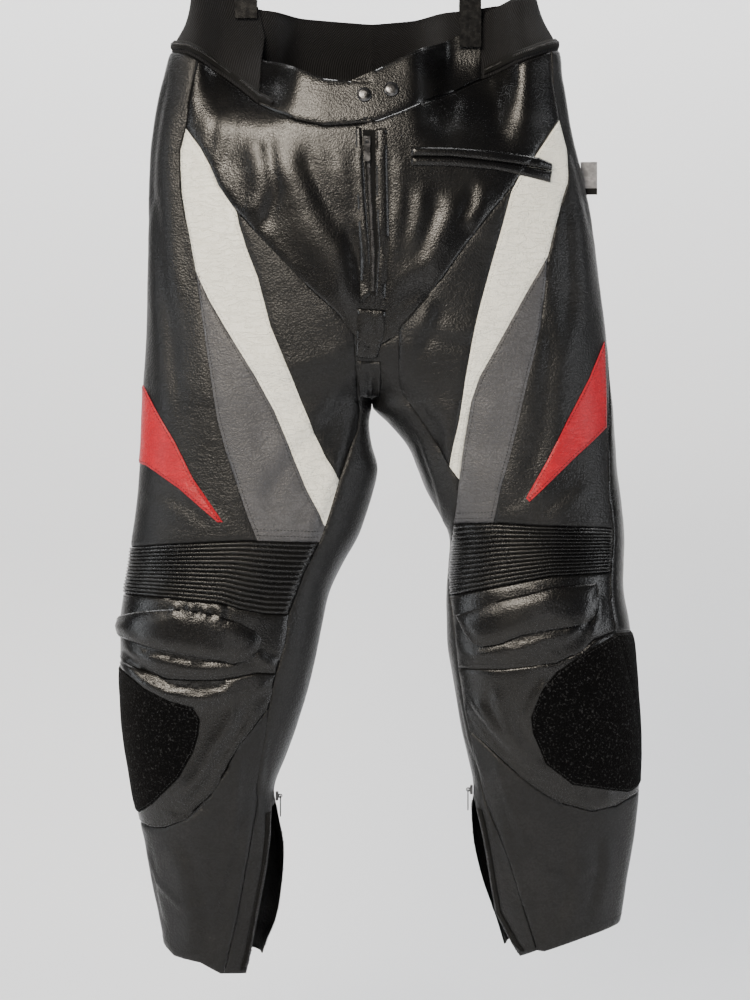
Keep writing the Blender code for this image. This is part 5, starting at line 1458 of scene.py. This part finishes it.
# %% Pieces on the panels
CROWN_EASE = {"knee_flap": 9.0, "knee_patch": 14.0}
ROUND_LIP = 4.6                 # the pocket's lips are rolls, round over this width from the rim
FLAP_SEAM = (7.5, 1.6, 1.0)     # the flap's second seam: distance from its rim, width, depth
EDGE_SHARE = {"knee_flap": 0.85, "pocket_upper": 0.25, "pocket_lower": 0.25}
PLAIN_EDGE = 0.5                # how much of the thickness is left at the very edge
GUSSET_RIBS = (4, 1.3, 0.5)     # how many, how tall, how far sunk
GUSSET_SPAN = (-18.0, 30.0)     # where they start beside the centre, and over what width


def real_scale(side, line):
    """Real millimetres to one unit of the sheet, across and down, about an outline."""
    drop = float(line[:, 1].mean())
    share = float(np.clip(line[:, 0].mean() / SHEET_WIDTH, WIDE_STEP - 1, 1 - WIDE_STEP))
    step = surface(side, share + WIDE_STEP, drop) - surface(side, share - WIDE_STEP, drop)
    return np.array([np.linalg.norm(step) / (2 * WIDE_STEP * SHEET_WIDTH), 1.0])


def rim_distance(side, base, places):
    """Real distance of places from an outline, leaving out its stretch on the centre line."""
    outline = sheets[side].outlines[base]
    line = np.array(outline + outline[:1])
    spread = real_scale(side, line)
    best = np.full(len(places), FAR)
    for a, b in zip(line, line[1:]):
        if min(a[0], b[0]) <= SHEET_WIDTH - ON_CENTRE:
            gap = line_distance(places * spread, np.array([a, b]) * spread)[0]
            best = np.minimum(best, gap)
    return best


def overlay_rise(name, places, points):
    """Height of an overlay's face: rounded at its rim, crowned where it is padded."""
    base, half = name.rsplit("_", 1)
    _, thick, crown = FINISHES[base]
    if half == "C":
        edge = np.where(points[:, 0] < CENTRE_X, rim_distance("R", base, places),
                        rim_distance("L", base, places))
    else:
        edge = rim_distance(half, base, places)
    near = np.clip(edge / (ROUND_LIP if base.startswith("pocket") else EDGE_ROUND), 0.0, 1.0)
    left = EDGE_SHARE.get(base, PLAIN_EDGE)
    rounded = left + (1 - left) * np.sqrt(1 - (1 - near) ** 2)
    height = LIFTS.get(base, LIFT) + thick * rounded
    if crown:
        height += crown * smooth(edge / CROWN_EASE[base])
    if base == "knee_flap":
        away, width, deep = FLAP_SEAM
        height -= deep * np.exp(-((edge - away) / width) ** 2)
    if base == "crotch_gusset":
        count, tall, sunk = GUSSET_RIBS
        start, span = GUSSET_SPAN
        turned = (points[:, 0] - CENTRE_X - start) / span * count * math.pi
        height += tall * np.sin(turned) ** 2 - sunk
    return height


on_panels = [(base, side) for side in sheets for base in list(OVERLAYS[side]) + ["waist_zip"]]
for base, half in on_panels + [(base, "C") for base in BRIDGES]:
    build(base + "_" + half, FINISHES[base][0], None, overlay_rise, LIFTS.get(base, LIFT))
print("pieces", len(made_pieces), "triangles",
      sum(sum(len(p.vertices) - 2 for p in o.data.polygons) for o in made_pieces.values()))

# %% [markdown]
# ## Thread
# Each seam is closed on the wrong side and then stitched down through the right side, a few
# millimetres beside the line. The stitches hold the folded edges flat and show as short bright
# dashes in a groove. A stitch is a small capsule laid on the leather. The rows follow the seam
# lines of the pattern, so they stay parallel to them over every fold.

# %% Laying small things on the leather
STITCH = (1.25, 0.36)           # half length and radius
STITCH_PITCH = 3.7
STITCH_RISE = 0.05
CAPSULE_SIDES = 5
CAPSULE_NECK = (0.8, 0.75)      # the end rings' share of the half length and of the radius
SEARCH_RISE = 2.5
FURTHEST = 7.0
LOOK_AHEAD = 0.8
SAME_FACING = 0.3               # a face turned further away than this isn't stitched


def all_faces():
    """One search tree over the outside of everything made so far."""
    points, faces = [], []
    for item in made_pieces.values():
        start = len(points)
        points += [v.co.copy() for v in item.data.vertices]
        faces += [[start + v for v in p.vertices] for p in item.data.polygons]
    return BVHTree.FromPolygons(points, faces)


SKIN = all_faces()


def row_frames(side, line, offset, pitch, lead=0.0, level=False, covers=()):
    """Places in metres along a sheet line, moved sideways by offset, each with its directions.
    Beside a level line the offset counts downwards. Places under the named covers are left out."""
    places = np.array(line)
    run = np.linalg.norm(np.diff(surface(side, places[:, 0] / SHEET_WIDTH, places[:, 1]), axis=0), axis=1)
    run = np.insert(np.cumsum(run), 0, 0.0)
    stops = np.arange(lead + pitch / 2, run[-1] - lead, pitch)

    def line_at(stops):
        return (np.interp(stops, run, places[:, k]) for k in (0, 1))

    def spots_at(stops, limit):
        across, drop = line_at(stops)
        return surface(side, np.clip(across / SHEET_WIDTH, -limit, limit), drop)

    across, drop = line_at(stops)
    out = normal_at(side, np.clip(across / SHEET_WIDTH, -0.999, 0.999), drop)
    way = unit(spots_at(stops + LOOK_AHEAD, 1) - spots_at(stops - LOOK_AHEAD, 1))
    beside = np.cross(out, way)
    if level:
        beside *= -np.sign(beside[:, 2:] + NO_LESS)
    seats = spots_at(stops, 0.999) + beside * offset + out * SEARCH_RISE
    hidden = np.zeros(len(stops), bool)
    for cover in covers:
        if cover in sheets[side].outlines:
            hidden |= inside(sheets[side].outlines[cover], np.stack([across, drop], -1))
    frames = []
    for spot, direction, along, under in zip(seats, out, way, hidden):
        hit, face_out, _, gap = SKIN.find_nearest(Vector(spot) * MM)
        if under or hit is None or gap > FURTHEST * MM or face_out.dot(Vector(direction)) < SAME_FACING:
            continue
        ahead = Vector(along) - face_out * face_out.dot(Vector(along))
        frames.append((hit, face_out, ahead.normalized()))
    return frames


def capsule_shape(half, radius):
    """Points and faces of a small capsule lying along X."""
    n = CAPSULE_SIDES
    neck, narrow = CAPSULE_NECK
    points = [(-half, 0.0, 0.0)]
    for x, r in ((-half * neck, radius * narrow), (0.0, radius), (half * neck, radius * narrow)):
        points += [(x, r * math.cos(2 * math.pi * k / n), r * math.sin(2 * math.pi * k / n))
                   for k in range(n)]
    points.append((half, 0.0, 0.0))
    faces = [[0, 1 + (k + 1) % n, 1 + k] for k in range(n)]
    for a in (1, 1 + n):
        faces += [[a + k, a + (k + 1) % n, a + n + (k + 1) % n, a + n + k] for k in range(n)]
    faces += [[1 + 3 * n, 1 + 2 * n + k, 1 + 2 * n + (k + 1) % n] for k in range(n)]
    return np.array(points), faces


def scatter(name, frames, shape, material, slot, rise=0.0):
    """One mesh of many copies of a small shape, X along the row and Z away from the leather."""
    base, base_faces = shape
    points, faces = [], []
    for spot, out, way in frames:
        over = out.cross(way)
        start = len(points)
        for x, y, z in base:
            points.append(spot + (way * x + over * y + out * (z + rise)) * MM)
        faces += [[start + v for v in f] for f in base_faces]
    mesh = bpy.data.meshes.new(name)
    mesh.from_pydata(points, [], faces)
    mesh.update()
    mesh.shade_smooth()
    add_item(name, mesh, material, slot)
    print(name, len(frames), "laid")


# %% Rows of stitches: seam or line, how far beside it, in millimetres
SEAM_STITCH_ROWS = {
    "dark": [("stripe_inner", 3.0), ("stripe_outer", -3.0), ("hip_foot", 3.0), ("hip_foot", -3.0),
             ("grey_side", 3.0), ("zip", 5.0), ("hip_side", 3.0), ("side_back", 3.0),
             ("side_back", -3.0)],
    "pale": [("stripe_inner", -2.6), ("stripe_outer", 2.6)],
}
LEVEL_STITCH_ROWS = [("rib_top", -5.5), ("rib_top", -12.0), ("rib_foot", 3.5), ("band_foot", -4.0),
                     ("band_foot", 3.0), ("cup_foot", -3.0), ("waist", 3.0), ("yoke_top", 3.0),
                     ("knee_back", 3.0), ("hem", -9.0), ("knit_top", 3.0)]
LONE_ROWS = {
    "R": [[(-11, 276), (-9, 341), (-7, 388), (-9, 446)], [(-7, 211), (-5, 230), (-2, 249)],
          [(-96, 1002), (-102, 1038), (-111, 1082), (-122, 1128), (-129, 1164)]],
    "L": [[(38, 276), (39, 341), (39, 388), (35, 446)],
          [(136, 1000), (146, 1047), (157, 1108), (174, 1146)]],
}
STITCHED_OUTLINES = ("knee_flap", "accent_red", "knee_patch")
OUTLINE_STITCH = 2.6
COVERS = ("pocket_upper", "pocket_lower", "knee_flap", "knee_patch", "accent_red")
ROW_STEP = 3.0
ROW_LEAD = 2.0
TONE_SLOTS = {"dark": "leather_black", "pale": "leather_white"}


def dark_rows(side, hand):
    """The rows that are only in dark thread: level seams, lone lines and the overlays' rims."""
    frames = []
    for seam, offset in LEVEL_STITCH_ROWS:
        line = sheet_line(side, SEAMS[side][seam], ROW_STEP)
        frames += row_frames(side, line, offset, STITCH_PITCH, ROW_LEAD, True, COVERS)
    for line in LONE_ROWS[side]:
        frames += row_frames(side, sheet_line(side, line, ROW_STEP), 0.0, STITCH_PITCH)
    for base in STITCHED_OUTLINES:
        outline = sheets[side].outlines[base]
        line = split_line(outline + outline[:1], ROW_STEP)
        turns = sum(a[0] * b[1] - b[0] * a[1] for a, b in zip(line, line[1:]))
        inward = -OUTLINE_STITCH if turns > 0 else OUTLINE_STITCH
        frames += row_frames(side, line, inward * hand, STITCH_PITCH)
    return frames


for side, hand in (("R", 1), ("L", -1)):
    for tone, rows in SEAM_STITCH_ROWS.items():
        frames = []
        for seam, offset in rows:
            line = sheet_line(side, SEAMS[side][seam], ROW_STEP)
            frames += row_frames(side, line, offset * hand, STITCH_PITCH, ROW_LEAD, covers=COVERS)
        if tone == "dark":
            frames += dark_rows(side, hand)
        scatter("stitches_%s_%s" % (tone, side), frames, capsule_shape(*STITCH), "thread_" + tone,
                TONE_SLOTS[tone], STITCH_RISE)

# %% [markdown]
# ## Zip teeth
# The fly zip is closed, so its two rows of metal teeth mesh in one line. The ankle zips hang
# open, one row on each edge. The zip round the waist joins the pants to a jacket, so only its
# half with one row is there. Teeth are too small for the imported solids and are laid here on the
# tapes, one by one.

# %% Teeth
TOOTH = (0.45, 1.25, 0.75)      # half length along the zip, half width, height
TOOTH_ROOT = 0.3                # how far it sits in the tape
TOOTH_SHOULDER = 0.6            # share of the height and width where and to which it narrows
TEETH_PITCH = 1.7
TEETH_STEP = 2.0


def tooth_shape(half, wide, tall):
    """A tooth with a narrowed top, along X."""
    corners = [(sx, sy) for sx in (-1, 1) for sy in (-1, 1)]
    points = [(sx * half, sy * wide, z) for z in (-TOOTH_ROOT, tall * TOOTH_SHOULDER)
              for sx, sy in corners]
    points += [(sx * half * TOOTH_SHOULDER, sy * wide * TOOTH_SHOULDER, tall) for sx, sy in corners]
    faces = [[0, 2, 6, 4], [1, 5, 7, 3], [0, 4, 5, 1], [2, 3, 7, 6], [0, 1, 3, 2],
             [4, 6, 10, 8], [5, 9, 11, 7], [4, 8, 9, 5], [6, 7, 11, 10], [8, 10, 11, 9]]
    return np.array(points), faces


FLY_R = [(9.5, 290), (11.5, 341), (12.9, 370)]
FLY_L = [(13.2, 370), (14.8, 400), (14.6, 436)]
TEETH_ROWS = {
    "fly": [("R", FLY_R, -0.7), ("R", FLY_R, 0.7), ("L", FLY_L, -0.7), ("L", FLY_L, 0.7)],
    "ankle_R": [("R", [(-98, 1002), (-99, 1026), (-103, 1060), (-112, 1106), (-122, 1155), (-126, 1170)],
                 0.0),
                ("R", [turn(-0.985, 996), turn(-0.985, 1152)], 0.0)],
    "ankle_L": [("L", [(129.5, 998), (140, 1047), (151, 1112), (167, 1146), (175, 1153)], 0.0),
                ("L", [turn(-0.985, 990), turn(-0.985, 1142)], 0.0)],
}
teeth_frames = {}
for name, rows in TEETH_ROWS.items():
    teeth_frames[name] = []
    for side, line, offset in rows:
        lead = TEETH_PITCH / 2 if offset > 0 else 0.0
        line = sheet_line(side, line, TEETH_STEP)
        teeth_frames[name] += row_frames(side, line, offset, TEETH_PITCH, lead)
for side in sheets:
    band = waist_zip_outline(side)
    half_count = len(band) // 2
    middle = [((a[0] + b[0]) / 2, (a[1] + b[1]) / 2)
              for a, b in zip(band[:half_count], reversed(band[half_count:]))]
    teeth_frames["waist_" + side] = row_frames(side, middle, 0.0, TEETH_PITCH)
for name, frames in teeth_frames.items():
    scatter("teeth_" + name, frames, tooth_shape(*TOOTH), "zip_metal", "gunmetal")

# %% [markdown]
# ## The side tag
# A folded bit of woven tape is caught in the side seam and bends a little. It is bare here.

# %% Tag
TAG_ACROSS = (243.0, 261.0)
TAG_DOWN = (288.0, 324.0)
TAG_DEPTH = (4.0, 2.2)          # where it leaves the seam, and how far it bends to the front
TAG_ARC = 1.9                   # how far round the bend goes, in radians
TAG_WAVE = (0.8, 3.0, 0.6)      # height, turns and start of the wave down its free edge
TAG_WALL = 1.0
TAG_STEPS = (9, 12)
SHARP_TAG = math.radians(50)


def make_tag():
    columns, rows = TAG_STEPS
    depth, bend = TAG_DEPTH
    tall, turns, start = TAG_WAVE
    width, length = TAG_ACROSS[1] - TAG_ACROSS[0], TAG_DOWN[1] - TAG_DOWN[0]
    ways = [(i / columns, j / rows) for j in range(rows + 1) for i in range(columns + 1)]
    points = []
    for wall in (-TAG_WALL / 2, TAG_WALL / 2):
        for f, g in ways:
            y = depth + wall - bend * math.sin(TAG_ARC * f) + tall * math.sin(turns * g + start) * f
            points.append(((TAG_ACROSS[0] + width * f) * MM, y * MM, -(TAG_DOWN[0] + length * g) * MM))
    wide = columns + 1
    back = len(ways)
    cells = [(j * wide + i, j * wide + i + 1, (j + 1) * wide + i + 1, (j + 1) * wide + i)
             for j in range(rows) for i in range(columns)]
    faces = [list(c[::-1]) for c in cells] + [[v + back for v in c] for c in cells]
    rim = list(range(wide)) + [j * wide + columns for j in range(1, rows + 1)]
    rim += [rows * wide + i for i in range(columns - 1, -1, -1)]
    rim += [j * wide for j in range(rows - 1, 0, -1)]
    faces += [[a, b, b + back, a + back] for a, b in zip(rim, rim[1:] + rim[:1])]
    mesh = bpy.data.meshes.new("side_tag")
    mesh.from_pydata(points, [], faces)
    pattern = mesh.uv_layers.new(name="pattern")
    for loop in mesh.loops:
        spot = mesh.vertices[loop.vertex_index].co
        pattern.data[loop.index].uv = (spot.x, spot.z)
    mesh.shade_smooth()
    mesh.set_sharp_from_angle(angle=SHARP_TAG)
    tag = add_item("side_tag_skin", mesh, "tag_cloth", "tag_cloth", ["side_tag"])
    size = (width * MM, length * MM)
    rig.sheet(tag, size, "hung", area=size[0] * size[1])
    print("tag", len(mesh.polygons), "faces")


make_tag()

# %% [markdown]
# ## Declaring the cloth
# Each piece is a sheet cut flat before it was sewn. The sizes below are read from the pattern.

# %% Sheets and padding
for name, item in sorted(made_pieces.items()):
    if name.startswith("knee_flap"):
        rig.padded(item, fill=0.5)
        continue
    width, length, area = FLAT_SIZES[name]
    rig.sheet(item, (width, length), "hung", area=min(area, width * length))
    print(name, "flat", round(width * 1000), "x", round(length * 1000), "mm")

# %% Kept pieces of metal and plastic
KEPT = {
    "gunmetal": ["snap_outer", "snap_inner", "fly_slider", "fly_pull", "ankle_R_slider",
                 "ankle_R_pull", "ankle_L_slider", "ankle_L_pull"],
    "hanger_plastic": ["clip_R", "clip_L"],
    "hanger_steel": ["hanger_rail", "hanger_hook"],
}
for slot, names in KEPT.items():
    for name in names:
        frame["nodes"][name].material_slots[0].material = MATERIALS[slot]

# %% Sizes and the end
visual_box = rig.bounds()
os.makedirs(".", exist_ok=True)
with open("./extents.json", "w") as out:
    json.dump({"cad": [list(v) for v in cad_box], "visual": [list(v) for v in visual_box]}, out)
print("cad", [list(v) for v in cad_box], "visual", [list(v) for v in visual_box])
